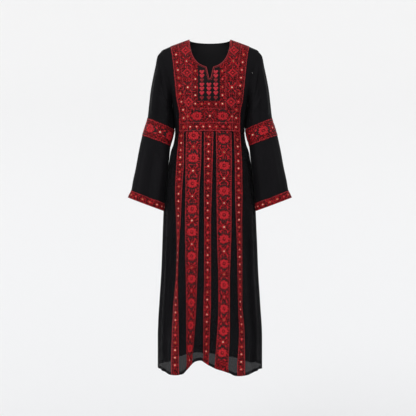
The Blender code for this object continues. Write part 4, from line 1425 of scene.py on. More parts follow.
class Bench:
    """Builds the nodes of one material."""

    def __init__(self, name: str) -> None:
        """Starts a material with one principled shader."""
        self.material = bpy.data.materials.new(name)
        self.material.use_nodes = True
        self.tree = self.material.node_tree
        self.shader = self.tree.nodes["Principled BSDF"]

    def node(self, kind: str, **settings: Any) -> Any:
        """A node with its settings."""
        made = self.tree.nodes.new(kind)
        for key, value in settings.items():
            setattr(made, key, value)
        return made

    def feed(self, socket: Any, value: Any) -> None:
        """Links a socket to another, or sets it to a plain value."""
        if isinstance(value, bpy.types.NodeSocket):
            self.tree.links.new(value, socket)
        else:
            socket.default_value = value

    def math(self, operation: str, first: Any, second: Any = 0.0, third: Any = 0.0) -> Any:
        """The result of a sum on plain values or sockets."""
        made = self.node("ShaderNodeMath", operation=operation)
        for socket, value in zip(made.inputs, (first, second, third)):
            self.feed(socket, value)
        return made.outputs[0]

    def flat(self) -> tuple[Any, Any]:
        """The two flat coordinates of the cloth, in metres."""
        source = self.node("ShaderNodeUVMap", uv_map="flat")
        parts = self.node("ShaderNodeSeparateXYZ")
        self.feed(parts.inputs[0], source.outputs[0])
        return parts.outputs[0], parts.outputs[1]

    def place(self) -> Any:
        """The piece's own coordinates."""
        return self.node("ShaderNodeTexCoord").outputs["Object"]

    def noise(self, where: Any, scale: float, detail: float = 2.0) -> Any:
        """Soft noise, 0 to 1, with features of about one over the scale."""
        made = self.node("ShaderNodeTexNoise")
        self.feed(made.inputs["Vector"], where)
        self.feed(made.inputs["Scale"], scale)
        self.feed(made.inputs["Detail"], detail)
        return made.outputs["Fac"]

    def cells(self, where: Any, scale: float, feature: str) -> Any:
        """Uneven flat cells of about one over the scale: each one's colour, or its edge's distance."""
        made = self.node("ShaderNodeTexVoronoi", voronoi_dimensions="2D", feature=feature)
        self.feed(made.inputs["Vector"], where)
        self.feed(made.inputs["Scale"], scale)
        return made.outputs["Color" if feature == "F1" else "Distance"]

    def mix(self, part: Any, low: Any, high: Any) -> Any:
        """A colour between two."""
        made = self.node("ShaderNodeMix", data_type="RGBA")
        for socket, value in zip((made.inputs[0], made.inputs[6], made.inputs[7]), (part, low, high)):
            self.feed(socket, value)
        return made.outputs[2]

    def spread(self, value: Any, low: float, high: float) -> Any:
        """A value stretched so that low is 0 and high is 1, held between them."""
        made = self.node("ShaderNodeMapRange", interpolation_type="SMOOTHSTEP")
        for socket, number in zip(made.inputs, (value, low, high, 0.0, 1.0)):
            self.feed(socket, number)
        return made.outputs[0]

    def bump(self, height: Any, distance: float, strength: float = 1.0, under: Any = None) -> Any:
        """A bumped normal from a height of 0 to 1, over another where there is one."""
        made = self.node("ShaderNodeBump")
        self.feed(made.inputs["Height"], height)
        self.feed(made.inputs["Distance"], distance)
        self.feed(made.inputs["Strength"], strength)
        if under is not None:
            self.feed(made.inputs["Normal"], under)
        return made.outputs[0]

    def wave(self, value: Any, pitch: float) -> Any:
        """A wave of 0 to 1 over a value in metres."""
        swing = self.math("SINE", self.math("MULTIPLY", value, FULL_TURN / pitch))
        return self.math("MULTIPLY_ADD", swing, 0.5, 0.5)

    def finish(self, **values: Any) -> bpy.types.Material:
        """Sets the shader's sockets and returns the material."""
        for key, value in values.items():
            self.feed(self.shader.inputs[key.replace("_", " ")], value)
        return self.material


@dataclass(frozen=True)
class Crepe:
    """Thin black crepe: twisted threads woven plainly, with a pebbled crinkle.

    Where the hem fold isn't 0, the cloth is double up to that height, so less shows through it.
    """

    colour: tuple[float, float, float] = (0.0066, 0.0061, 0.0074)
    # deep: the darker colour, put in the crinkle's hollows as painted shade and in the drift's uneven dark
    # patches.
    deep: tuple[float, float, float] = (0.0040, 0.0038, 0.0046)
    opacity: float = 1.0
    roughness: float = 0.72
    sheen: float = 0.010
    thread_pitch: float = 0.0009
    crinkle: float = 0.0021
    hem_fold: float = 0.0
    fold_cover: float = 0.85

    def made(self, name: str) -> bpy.types.Material:
        """The cloth's material."""
        bench = Bench(name)
        across, along = bench.flat()
        where = bench.place()
        over, under = (bench.wave(value, self.thread_pitch) for value in (across, along))
        weave = bench.math("MULTIPLY", over, under)
        crinkle = bench.noise(where, 1.0 / self.crinkle, 3.0)
        drift = bench.noise(where, 7.0, 3.0)
        # Painted shade: the colour goes to deep where the crinkle is low, in its hollows. The broad drift
        # adds uneven darker patches.
        shade = bench.math("MULTIPLY_ADD", crinkle, 0.5, bench.math("MULTIPLY", drift, 0.5))
        colour = bench.mix(bench.spread(shade, 0.30, 0.70), (*self.deep, 1.0), (*self.colour, 1.0))
        normal = bench.bump(crinkle, 0.00018, 0.8)
        normal = bench.bump(weave, 0.0002, 0.6, normal)
        rough = bench.math("MULTIPLY_ADD", crinkle, 0.12, self.roughness - 0.06)
        opacity = self.opacity
        if self.hem_fold > 0.0:
            folded = bench.math("LESS_THAN", along, self.hem_fold)
            more = self.fold_cover * (1.0 - self.opacity)
            opacity = bench.math("MULTIPLY_ADD", folded, more, self.opacity)
        return bench.finish(
            Base_Color=colour,
            Roughness=rough,
            Normal=normal,
            Alpha=opacity,
            Sheen_Weight=self.sheen,
            Sheen_Roughness=0.45,
            Specular_IOR_Level=0.07,
        )


@dataclass(frozen=True)
class CrossStitchGround:
    """Cloth filled with crossed stitches in uneven small leaves, red and dark.

    Where the placket's half width isn't 0, the cloth round the slit is left black.
    """

    pitch: float = 0.0022
    leaf: float = 0.0096
    thread: tuple[float, float, float] = (0.230, 0.0036, 0.0072)
    bright: tuple[float, float, float] = (0.440, 0.0085, 0.0150)
    dark: tuple[float, float, float] = (0.0060, 0.0008, 0.0014)
    cloth: tuple[float, float, float] = (0.0045, 0.0035, 0.0042)
    filled: float = 0.34
    placket_middle: float = -0.0040
    placket_half: float = 0.0
    placket_bottom: float = 0.0

    def leaves(self, bench: Bench) -> tuple[Any, Any]:
        """How far a place is inside its leaf, from 0 at the edge, and a number for each leaf."""
        source = bench.node("ShaderNodeUVMap", uv_map="flat").outputs[0]
        warped = bench.node("ShaderNodeVectorMath", operation="MULTIPLY")
        bench.feed(warped.inputs[0], source)
        warped.inputs[1].default_value = (1.15, 0.85, 1.0)
        inside = bench.cells(warped.outputs[0], 1.0 / self.leaf, "DISTANCE_TO_EDGE")
        number = bench.node("ShaderNodeSeparateXYZ")
        bench.feed(number.inputs[0], bench.cells(warped.outputs[0], 1.0 / self.leaf, "F1"))
        return inside, number.outputs[0]

    def stitched(self, bench: Bench, across: Any, along: Any) -> Any:
        """1 on a crossed stitch's two threads and 0 beside them."""
        over = bench.math("FRACT", bench.math("MULTIPLY", across, 1.0 / self.pitch))
        up = bench.math("FRACT", bench.math("MULTIPLY", along, 1.0 / self.pitch))
        first = bench.math("ABSOLUTE", bench.math("SUBTRACT", over, up))
        second = bench.math("SUBTRACT", bench.math("ADD", over, up), 1.0)
        near = bench.math("MINIMUM", first, bench.math("ABSOLUTE", second))
        return bench.math("SUBTRACT", 1.0, bench.spread(near, self.filled - 0.12, self.filled))

    def placket(self, bench: Bench) -> Any:
        """1 on the black placket and 0 beside it, by the place on the chest."""
        parts = bench.node("ShaderNodeSeparateXYZ")
        bench.feed(parts.inputs[0], bench.place())
        off = bench.math("SUBTRACT", parts.outputs[0], self.placket_middle)
        aside = bench.math("LESS_THAN", bench.math("ABSOLUTE", off), self.placket_half)
        above = bench.math("GREATER_THAN", parts.outputs[2], self.placket_bottom)
        return bench.math("MULTIPLY", aside, above)

    def made(self, name: str) -> bpy.types.Material:
        """The ground's material."""
        bench = Bench(name)
        across, along = bench.flat()
        thread = self.stitched(bench, across, along)
        inside, number = self.leaves(bench)
        drift = bench.noise(bench.place(), 170.0, 2.0)
        level = bench.math("MULTIPLY_ADD", drift, 1.2, bench.math("SUBTRACT", inside, 0.60))
        leaf = bench.mix(bench.spread(number, 0.35, 0.75), (*self.thread, 1.0), (*self.bright, 1.0))
        red = bench.mix(bench.spread(level, 0.10, 0.15), (*self.dark, 1.0), leaf)
        colour = bench.mix(thread, (*self.cloth, 1.0), red)
        if self.placket_half > 0.0:
            black = self.placket(bench)
            colour = bench.mix(black, colour, (*self.cloth, 1.0))
            thread = bench.math("MULTIPLY", thread, bench.math("SUBTRACT", 1.0, black))
        normal = bench.bump(thread, 0.0004, 0.9)
        return bench.finish(
            Base_Color=colour,
            Roughness=0.62,
            Normal=normal,
            Sheen_Weight=0.008,
            Sheen_Roughness=0.4,
            Specular_IOR_Level=0.10,
        )


@dataclass(frozen=True)
class Floss:
    """Satin-stitched thread in its own colour, with fine lines along each thread: painted sheen on their
    crests and painted shade between them.
    """

    thread_pitch: float = 0.00055
    roughness: float = 0.46
    sheen: float = 0.015

    def made(self, name: str) -> bpy.types.Material:
        """The thread's material."""
        bench = Bench(name)
        along = bench.flat()[0]
        colour = bench.node("ShaderNodeAttribute", attribute_name="thread").outputs["Color"]
        lines = bench.wave(along, self.thread_pitch)
        drift = bench.noise(bench.place(), 240.0, 2.0)
        # The lines brighten the thread on their crests and darken it between them: painted sheen and
        # painted shade. The drift adds an uneven mottle.
        shade = bench.math("MULTIPLY_ADD", lines, 0.35, bench.math("MULTIPLY_ADD", drift, 1.5, -0.05))
        darker = bench.node("ShaderNodeVectorMath", operation="SCALE")
        bench.feed(darker.inputs[0], colour)
        bench.feed(darker.inputs[3], shade)
        normal = bench.bump(lines, 0.00025, 0.7)
        return bench.finish(
            Base_Color=darker.outputs[0],
            Roughness=self.roughness,
            Normal=normal,
            Sheen_Weight=self.sheen,
            Sheen_Roughness=0.35,
            Specular_IOR_Level=0.22,
        )


@dataclass(frozen=True)
class TwistedCord:
    """Thin red cord laid from twisted threads, with painted shade in the grooves between its strands."""

    colour: tuple[float, float, float] = (0.560, 0.060, 0.070)
    # deep: the colour in the grooves between strands, painted shade.
    deep: tuple[float, float, float] = (0.230, 0.014, 0.020)
    twist: float = 0.0016

    def made(self, name: str) -> bpy.types.Material:
        """The cord's material."""
        bench = Bench(name)
        around, along = bench.flat()
        lay = bench.math("ADD", along, bench.math("MULTIPLY", around, 0.6))
        strand = bench.wave(lay, self.twist)
        # Painted shade: deep in the grooves between the strands, the bright colour on their crests.
        colour = bench.mix(strand, (*self.deep, 1.0), (*self.colour, 1.0))
        normal = bench.bump(strand, 0.0003, 0.9)
        return bench.finish(Base_Color=colour, Roughness=0.5, Normal=normal, Specular_IOR_Level=0.2)


@dataclass(frozen=True)
class Paper:
    """Matt pale paper of the studio floor, painted darker low down and paler up the wall: painted shade and
    painted light, by height.
    """

    low: tuple[float, float, float] = (0.830, 0.835, 0.845)
    high: tuple[float, float, float] = (0.930, 0.930, 0.930)
    reach: tuple[float, float] = (-2.0, 1.0)

    def made(self, name: str) -> bpy.types.Material:
        """The paper's material."""
        bench = Bench(name)
        parts = bench.node("ShaderNodeSeparateXYZ")
        bench.feed(parts.inputs[0], bench.place())
        # Painted shade and light: the colour goes from the darker low near the floor to the paler high up
        # the wall.
        part = bench.spread(parts.outputs[2], *self.reach)
        colour = bench.mix(part, (*self.low, 1.0), (*self.high, 1.0))
        return bench.finish(Base_Color=colour, Roughness=0.95, Specular_IOR_Level=0.1)


@dataclass(frozen=True)
class Finishes:
    """All materials of the dress, made once."""

    bodice: bpy.types.Material
    # inner face of the bodices, black crepe painted paler: painted light
    inside_painted_light: bpy.types.Material
    skirt: bpy.types.Material
    sleeve: bpy.types.Material
    lining: bpy.types.Material
    chest: bpy.types.Material
    band: bpy.types.Material
    floss: bpy.types.Material
    cord: bpy.types.Material
    sewing: bpy.types.Material

    @staticmethod
    def all_made() -> "Finishes":
        """Makes every material."""
        return Finishes(
            bodice=Crepe().made("black_crepe"),
            # The bodices' inner face: black crepe painted paler, painted light standing in for the light
            # that reaches the inside of the dress.
            inside_painted_light=Crepe(colour=(0.026, 0.025, 0.027), deep=(0.020, 0.019, 0.021)).made("inside_painted_light"),
            skirt=Crepe(opacity=0.80, hem_fold=0.012).made("sheer_black_crepe"),
            sleeve=Crepe().made("sleeve_crepe"),
            lining=Crepe(roughness=0.6, thread_pitch=0.0006).made("lining_cloth"),
            chest=CrossStitchGround(placket_half=0.0445, placket_bottom=-0.2460).made("chest_ground"),
            band=CrossStitchGround().made("band_ground"),
            floss=Floss().made("embroidery_floss"),
            cord=TwistedCord().made("neck_cord"),
            sewing=Crepe(colour=(0.012, 0.011, 0.014), roughness=0.5).made("sewing_thread"),
        )


@dataclass(frozen=True)
class Cut:
    """The flat cut of a sheet: its width and length, and its area where it isn't a rectangle."""

    width: float
    length: float
    area: float | None = None

    def declare(self, piece: Any, held: str, rests_on: list[str], with_pieces: list[Any]) -> None:
        """Takes the piece and what it rests on, and does nothing with them."""


def fitted(piece: Any, slot: str, *nodes: str) -> Any:
    """Lets a piece ride on the dress, and has it stand for its nodes."""
    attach(piece, "root")
    if nodes:
        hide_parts(*nodes)
    return piece


@dataclass
class Body:
    """Front and back of the dress, each a bodice and a skirt sewn at the waist."""

    form: BodyForm
    front: ClothGrid
    back: ClothGrid
    waist_row: int
    finishes: Finishes
    thickness: float = 0.0007
    seam_gap: float = 0.0003
    hem_radius: float = 0.205
    hem_stitch: tuple[float, float] = (0.0048, 0.0009)
    hem_depth: float = 0.0122
    front_bodice_cut: Cut = Cut(0.48, 0.42, 0.150)
    front_skirt_cut: Cut = Cut(0.75, 1.00, 0.600)
    back_bodice_cut: Cut = Cut(0.46, 0.41, 0.150)
    back_skirt_cut: Cut = Cut(0.72, 1.00, 0.580)

    def build(self) -> None:
        """Makes the four cloths."""
        low = slice(0, self.waist_row + 1)
        high = slice(self.waist_row, None)
        made = self.finishes
        for side, grid, over, cuts in (
            ("front", self.front, "back", (self.front_bodice_cut, self.front_skirt_cut)),
            ("back", self.back, "front", (self.back_bodice_cut, self.back_skirt_cut)),
        ):
            for piece, rows, edge, lift, finish, inside, cut, carrier in (
                # The bodice's inner face takes the paler crepe: painted light inside the dress.
                ("bodice", high, 0, self.seam_gap, made.bodice, made.inside_painted_light, cuts[0], f"{over}_bodice"),
                ("skirt", low, -1, -self.seam_gap, made.skirt, None, cuts[1], f"{side}_bodice"),
            ):
                part = grid.part(rows)
                part.points[edge, :, 2] += lift / 2.0
                shell = cloth_shell(
                    f"{side}_{piece}_cloth", part, finish, self.thickness, -self.thickness, inside
                )
                fitted(shell, "black_cloth", f"{side}_{piece}")
                sewn = [self.hem_stitches(Side[side.upper()])] if piece == "skirt" else []
                cut.declare(shell, "hung", [carrier], sewn)

    def hem_stitches(self, side: Side) -> Any:
        """The row of stitches that holds the folded hem."""
        reach = 0.98 * QUARTER * self.hem_radius
        along = np.linspace(-reach, reach, 400)
        across = np.full_like(along, self.hem_depth)
        row = Motifs(rise=0.0004).line(across, along, *self.hem_stitch, Tone.BLACK)
        ground = HemGround(self.form, side, self.hem_radius)
        sewer = Embroiderer(self.finishes.sewing, lift=0.0001)
        sewn = sewer.sew(f"hem_stitches_{side.name.lower()}", row, ground)
        return fitted(sewn, "black_cloth")


@dataclass
class Sleeve:
    """One sleeve with its armband and its cuff band."""

    form: SleeveForm
    finishes: Finishes
    thickness: float = 0.0007
    lay_gap: float = 0.0003
    ground_thickness: float = 0.0008
    arm_rings: tuple[int, int] = (6, 8)
    cuff_rings: tuple[int, int] = (12, 13)
    cut: Cut = Cut(0.36, 0.66, 0.215)
    armband_cut: Cut = Cut(0.300, 0.078, 0.0225)
    cuff_cut: Cut = Cut(0.370, 0.036, 0.0125)
    armband_width: float = 0.076
    armband_girth: float = 0.30
    armband_motifs: int = 8
    armband_starts: tuple[float, float] = (1.19, 1.84)
    cuff_stars: int = 15
    cuff_width: float = 0.033
    cuff_girth: float = 0.36
    motifs: Motifs = Motifs()

    def build(self) -> None:
        """Makes the sleeve, its two bands and their embroidery."""
        side = self.form.hand.name.lower()
        grid = self.form.grid()
        sleeve = cloth_shell(
            f"sleeve_{side}_cloth", grid, self.finishes.sleeve, self.thickness, -self.thickness
        )
        fitted(sleeve, "black_cloth", f"sleeve_{side}")
        self.cut.declare(sleeve, "hung", ["front_bodice", "back_bodice"], [])
        self.band("armband", self.arm_rings, self.armband_cut, self.armband_stitches())
        self.band("cuff_band", self.cuff_rings, self.cuff_cut, self.cuff_stitches())

    def band(self, kind: str, rings: tuple[int, int], cut: Cut, stitches: Stitches) -> None:
        """Makes one band's ground cloth and embroidery."""
        side = self.form.hand.name.lower()
        part = self.form.grid().part(self.form.rows(*rings))
        ground = cloth_shell(
            f"{kind}_{side}_ground", part, self.finishes.band, self.ground_thickness, self.lay_gap
        )
        fitted(ground, "band_embroidery", f"{kind}_{side}")
        arm = kind == "armband"
        width = self.armband_width if arm else self.cuff_width
        girth = self.armband_girth if arm else self.cuff_girth
        place = SleeveGround(self.form, rings[0], rings[1], width, girth)
        sewer = Embroiderer(self.finishes.floss)
        sewn = sewer.sew(f"{kind}_{side}_stitches", stitches, place)
        fitted(sewn, "band_embroidery")
        cut.declare(ground, "laid", [f"sleeve_{side}"], [sewn])

    def armband_stitches(self) -> Stitches:
        """Rosettes and leaf crosses in turn round the arm, between plaited borders."""
        motifs = self.motifs
        count = self.armband_motifs
        start = self.armband_starts[0 if self.form.hand is Hand.RIGHT else 1]
        along = (np.arange(count) + start) * self.armband_girth / count
        parts = [motifs.rosette().placed(np.zeros(count // 2), along[::2], 0.0172)]
        parts += motifs.studded(motifs.leaf_cross(), 0.0, along[1::2], 0.0182, 0.0064)
        round_it = np.linspace(0.0, self.armband_girth, 200)
        lines = ((0.003, 0.0026, Tone.BORDER), (0.008, 0.0016, Tone.BLACK), (0.0105, 0.0018, Tone.RED))
        parts += motifs.both_edges(self.armband_width / 2.0, round_it, 0.0042, lines)
        return Stitches.joined(parts)

    def cuff_stitches(self) -> Stitches:
        """A row of stars in squares round the wrist, between plaited borders."""
        motifs = self.motifs
        along = (np.arange(self.cuff_stars) + 0.5) * self.cuff_girth / self.cuff_stars
        parts = motifs.studded(motifs.star_square(), 0.0, along, 0.0100, 0.0056)
        round_it = np.linspace(0.0, self.cuff_girth, 200)
        lines = ((0.0017, 0.0024, Tone.BORDER),)
        parts += motifs.both_edges(self.cuff_width / 2.0, round_it, 0.0042, lines)
        return Stitches.joined(parts)


@dataclass
class ChestPanel:
    """The embroidered chest panel, with frames of stars and flowers round a black placket."""

    cut: FrontCut
    front: ClothGrid
    finishes: Finishes
    lay_gap: float = 0.0003
    thickness: float = 0.0008
    flat_cut: Cut = Cut(0.345, 0.400, 0.100)
    outer_inset: float = 0.0175
    frame_inset: float = 0.0330
    star_pitch: float = 0.033
    middle: float = -0.0040
    frame_half: float = 0.0720
    frame_bottom: float = -0.2770
    inner_half: float = 0.0550
    neck_line_inset: float = 0.0032
    motifs: Motifs = Motifs()

    def build(self) -> None:
        """Makes the panel's ground cloth, its black placket and its embroidery."""
        part = self.front.part(slice(self.cut.waist_row, None), self.cut.chest_slice())
        panel = cloth_shell(
            "chest_panel_ground", part, self.finishes.chest, self.thickness, self.lay_gap
        )
        fitted(panel, "chest_embroidery", "chest_panel")
        ground = ChestGround(self.cut.body)
        sewer = Embroiderer(self.finishes.floss)
        frames = sewer.sew("chest_borders", self.border_stitches(), ground)
        fitted(frames, "chest_embroidery")
        flowers = sewer.sew("chest_flowers", self.flower_stitches(), ground)
        fitted(flowers, "chest_embroidery")
        self.flat_cut.declare(panel, "laid", ["front_bodice"], [frames, flowers])

    def edge(self, height: Array) -> Array:
        """Distance across of the panel's edge at a height."""
        return self.cut.edge_across(height, Hand.LEFT)

    def border_stitches(self) -> Stitches:
        """Plaited lines along the edges, the frame and the waist, and the rows of stars."""
        motifs = self.motifs
        body = self.cut.body
        height = np.linspace(body.waist + 0.004, -0.004, 160)
        lines = (
            (0.0024, 0.0034, Tone.BORDER),
            (self.frame_inset, 0.0032, Tone.BORDER),
            (0.0064, 0.0020, Tone.BLACK),
        )
        parts = motifs.both_edges(self.edge(height), height, 0.0042, lines)
        half = np.linspace(-0.122, 0.122, 60)
        for level, width, tone in ((-0.3636, 0.0036, Tone.BORDER), (-0.3315, 0.0030, Tone.BORDER)):
            parts.append(motifs.line(half, np.full_like(half, level), 0.0042, width, tone))
        star_rows = np.arange(-0.047, -0.325, -self.star_pitch)
        across = self.edge(star_rows) - self.outer_inset
        both = np.concatenate([across, -across]), np.tile(star_rows, 2)
        parts += motifs.studded(motifs.star_square(), *both, 0.0125, 0.0062)
        low = np.linspace(-0.107, 0.107, 9)
        parts += motifs.studded(motifs.star_square(), low, -0.3480, 0.0118, 0.0062)
        return Stitches.joined(parts)

    def flower_stitches(self) -> Stitches:
        """Flowers and leaf crosses in the wide frame, stars round the placket, and its hearts."""
        motifs = self.motifs
        parts = []
        diamonds = np.array([-0.030, -0.126, -0.248])
        crosses = np.array([-0.077, -0.188])
        for rows, motif, size in (
            (diamonds, motifs.diamond(), 0.0195),
            (crosses, motifs.leaf_cross(), 0.0200),
        ):
            across = self.flower_line(rows)
            both = np.concatenate([across, -across]), np.tile(rows, 2)
            parts.append(motif.placed(*both, size))
        across = self.flower_line(crosses)
        parts.append(motifs.knots(np.concatenate([across, -across]), np.tile(crosses, 2), 0.0064))
        level = -0.3055
        parts.append(motifs.rosette().placed(np.array([-0.0515, 0.0515]), level, 0.0188))
        cross_places = np.array([-0.090, 0.0, 0.090])
        parts += motifs.studded(motifs.leaf_cross(), cross_places, level, 0.0178, 0.0062)
        parts += self.frame_stitches()
        parts += self.placket_stitches()
        parts.append(self.neck_line())
        return Stitches.joined(parts)

    def flower_line(self, height: Array) -> Array:
        """Middle line of the wide frame between the outer stars and the inner frame."""
        return (self.edge(height) - self.frame_inset + self.frame_half) / 2.0

    def frame_stitches(self) -> list[Stitches]:
        """The inner frame's line and its stars down both sides and under the placket."""
        motifs = self.motifs
        half = self.frame_half - 0.003
        up = np.linspace(-0.098, self.frame_bottom, 60)
        over = np.linspace(-half, half, 40)
        path_across = np.concatenate([np.full(60, -half), over, np.full(60, half)]) + self.middle
        path_along = np.concatenate([up, np.full(40, self.frame_bottom), up[::-1]])
        parts = [motifs.line(path_across, path_along, 0.0040, 0.0034, Tone.BORDER)]
        rows = np.array([-0.120, -0.154, -0.188, -0.222, -0.2565])
        both = np.repeat(BOTH * self.inner_half, len(rows)) + self.middle
        parts += motifs.studded(motifs.star_square(), both, np.tile(rows, 2), 0.0105, 0.0062)
        low = np.array([-0.0285, 0.0, 0.0285]) + self.middle
        parts += motifs.studded(motifs.star_square(), low, -0.2580, 0.0105, 0.0054)
        return parts

    def placket_stitches(self) -> list[Stitches]:
        """Three columns of stacked hearts on the black placket, edged with small lines."""
        motifs = self.motifs
        parts = []
        sides = np.array([-0.1235, -0.1405, -0.1590, -0.1775, -0.1945, -0.2125, -0.2325])
        for rows_here, aside in ((sides, -0.0285), (sides, 0.0280), (sides[3:], 0.0)):
            bright = np.array([0, 1, 3, 4, 5]) - (7 - len(rows_here))
            bright = np.isin(np.arange(len(rows_here)), bright)
            for chosen, tone, size in ((bright, Tone.SATIN, 0.0142), (~bright, Tone.RED, 0.0124)):
                places = rows_here[chosen]
                across = np.full(len(places), self.middle + aside)
                parts.append(motifs.heart(tone).placed(across, places, size))
        return parts

    def neck_line(self) -> Stitches:
        """A plaited line beside the neckline and the slit, a little outside their edge."""
        ends = self.cut.neck_column, self.cut.chest_columns - self.cut.neck_column
        columns = np.linspace(*ends, 240)
        across, height = self.cut.neckline(columns)
        over, up = np.gradient(across), np.gradient(height)
        run = np.maximum(np.hypot(over, up), 1e-9)
        reach = self.neck_line_inset
        return self.motifs.line(
            across + reach * up / run, height - reach * over / run, 0.0036, 0.0022, Tone.BORDER
        )


@dataclass
class SkirtBands:
    """Five embroidered strips down the skirt's front."""

    cut: FrontCut
    front: ClothGrid
    finishes: Finishes
    lay_gap: float = 0.0003
    thickness: float = 0.0008
    waist_gap: float = 0.0006
    names: tuple[str, ...] = (
        "band_right_narrow", "band_right_wide", "band_centre", "band_left_wide", "band_left_narrow",
    )
    widths: tuple[float, ...] = (0.0280, 0.0600, 0.0320, 0.0600, 0.0280)
    cuts: tuple[Cut, ...] = (
        Cut(0.030, 1.00), Cut(0.062, 1.00), Cut(0.034, 1.00), Cut(0.062, 1.00), Cut(0.030, 1.00),
    )
    right_flowers: tuple[float, ...] = (
        -0.384, -0.477, -0.581, -0.685, -0.778, -0.875, -0.967, -1.064, -1.155, -1.249,
    )
    left_flowers: tuple[float, ...] = (
        -0.399, -0.508, -0.612, -0.709, -0.806, -0.905, -0.991, -1.086, -1.176, -1.264,
    )
    star_pitch: float = 0.030
    motifs: Motifs = Motifs()

    def build(self) -> None:
        """Makes the five strips and their embroidery."""
        low = slice(0, self.cut.waist_row + 1)
        sewer = Embroiderer(self.finishes.floss)
        for band, name in enumerate(self.names):
            part = self.front.part(low, self.cut.columns_of(band))
            part.points[-1] += self.waist_gap * unit(part.points[-2] - part.points[-1])
            strip = cloth_shell(
                f"{name}_ground", part, self.finishes.band, self.thickness, self.lay_gap
            )
            fitted(strip, "band_embroidery", name)
            stitches = self.wide_stitches(band) if band in (1, 3) else self.narrow_stitches(band)
            sewn = sewer.sew(f"{name}_stitches", stitches, BandGround(self.cut, band, self.widths[band]))
            fitted(sewn, "band_embroidery")
            self.cuts[band].declare(strip, "laid", ["front_skirt"], [sewn])

    def hem_at(self, band: int) -> float:
        """Height of the strip's lower end, at the higher of its two corners."""
        edges = self.cut.edges[2 * band : 2 * band + 2]
        across = np.array([float(edge(self.cut.body.hem)) for edge in edges])
        angle = self.cut.body.angle_of(across, np.full(2, self.cut.body.hem))
        return float(self.cut.body.hem_height(angle, Side.FRONT).max())

    def border_lines(self, band: int) -> list[Stitches]:
        """Plaited lines down both edges, and a darker one beside each."""
        low = self.hem_at(band) + 0.003
        height = np.linspace(self.cut.body.waist - 0.004, low, 240)
        half = self.widths[band] / 2.0
        lines = ((0.0018, 0.0028, Tone.BORDER), (0.0050, 0.0016, Tone.BLACK))
        return self.motifs.both_edges(half, height, 0.0046, lines)

    def narrow_stitches(self, band: int) -> Stitches:
        """Stars in squares down the strip, with a pale knot in each."""
        motifs = self.motifs
        low = self.hem_at(band) + 0.014
        rows = np.arange(self.cut.body.waist - 0.016 - 0.004 * band, low, -self.star_pitch)
        parts = self.border_lines(band)
        parts += motifs.studded(motifs.star_square(), 0.0, rows, 0.0108, 0.0062)
        return Stitches.joined(parts)

    def wide_stitches(self, band: int) -> Stitches:
        """Rosettes down the strip with a leaf cross between each two."""
        motifs = self.motifs
        rows = np.array(self.right_flowers if band == 1 else self.left_flowers)
        between = np.append((rows[1:] + rows[:-1]) / 2.0, rows[-1] - 0.047)
        between = between[between > self.hem_at(band) + 0.018]
        parts = self.border_lines(band)
        parts.append(motifs.rosette().placed(np.zeros(len(rows)), rows, 0.0195))
        parts += motifs.studded(motifs.leaf_cross(), 0.0, between, 0.0205, 0.0064)
        return Stitches.joined(parts)


@dataclass
class NeckPiping:
    """The thin cord sewn along the front neckline and the slit."""

    cut: FrontCut
    front: ClothGrid
    finishes: Finishes
    radius: float = 0.0012
    gap: float = 0.0004
    lift: float = 0.0004
    sides: int = 12
    end_gap: float = 0.0020

    def build(self) -> None:
        """Makes the cord: circles carried along the edge, just inside the opening."""
        fine = self.cut.fine_across
        first = (self.cut.side_columns + self.cut.neck_column) * fine
        last = (self.cut.side_columns + self.cut.chest_columns - self.cut.neck_column) * fine
        edge = self.front.points[-1, first : last + 1]
        away = self.front.outward[-1, first : last + 1]
        middle = edge + self.lift * away
        along = unit(np.gradient(middle, axis=0))
        into = unit(np.cross(away, along))
        into = into * -np.sign(into[0, 0] * middle[0, 0])
        centre = middle + (self.radius + self.gap) * into
        up = unit(np.cross(along, into))
        turn = FULL_TURN * np.arange(self.sides) / self.sides
        ring = np.cos(turn)[None, :, None] * into[:, None] + np.sin(turn)[None, :, None] * up[:, None]
        centre[0] += self.end_gap * along[0]
        centre[-1] -= self.end_gap * along[-1]
        points = centre[:, None] + self.radius * ring
        grid = ClothGrid(points, ring, around=True)
        numbers = corners(grid_numbers(len(points), self.sides, True))
        flats = corners(grid.flat())
        last_ring = (len(points) - 1) * self.sides
        step = np.arange(1, self.sides - 2, 2)
        cap = np.stack([np.zeros_like(step), step, step + 1, step + 2], axis=-1)
        caps = np.concatenate([cap[:, ::-1], cap + last_ring])
        faces = np.concatenate([numbers, caps])
        flats = np.concatenate([flats, np.zeros((len(caps), 4, 2))])
        if not turned_out(points, ring):
            faces = faces[:, ::-1]
            flats = flats[:, ::-1]
        draft = MeshDraft()
        draft.add(points, faces, flats)
        cord = draft.build("neck_piping_cord", self.finishes.cord)
        fitted(cord, "piping_cord", "neck_piping")


@dataclass
class Lining:
    """The shorter lining of the skirt."""

    form: LiningForm
    finishes: Finishes
    thickness: float = 0.0006
    cut: Cut = Cut(1.10, 0.95, 0.920)

    def build(self) -> None:
        """Makes the lining tube."""
        tube = cloth_shell(
            "skirt_lining_cloth", self.form.grid(), self.finishes.lining, self.thickness, -self.thickness
        )
        fitted(tube, "lining_cloth", "skirt_lining")
        self.cut.declare(tube, "hung", ["front_skirt", "back_skirt"], [])


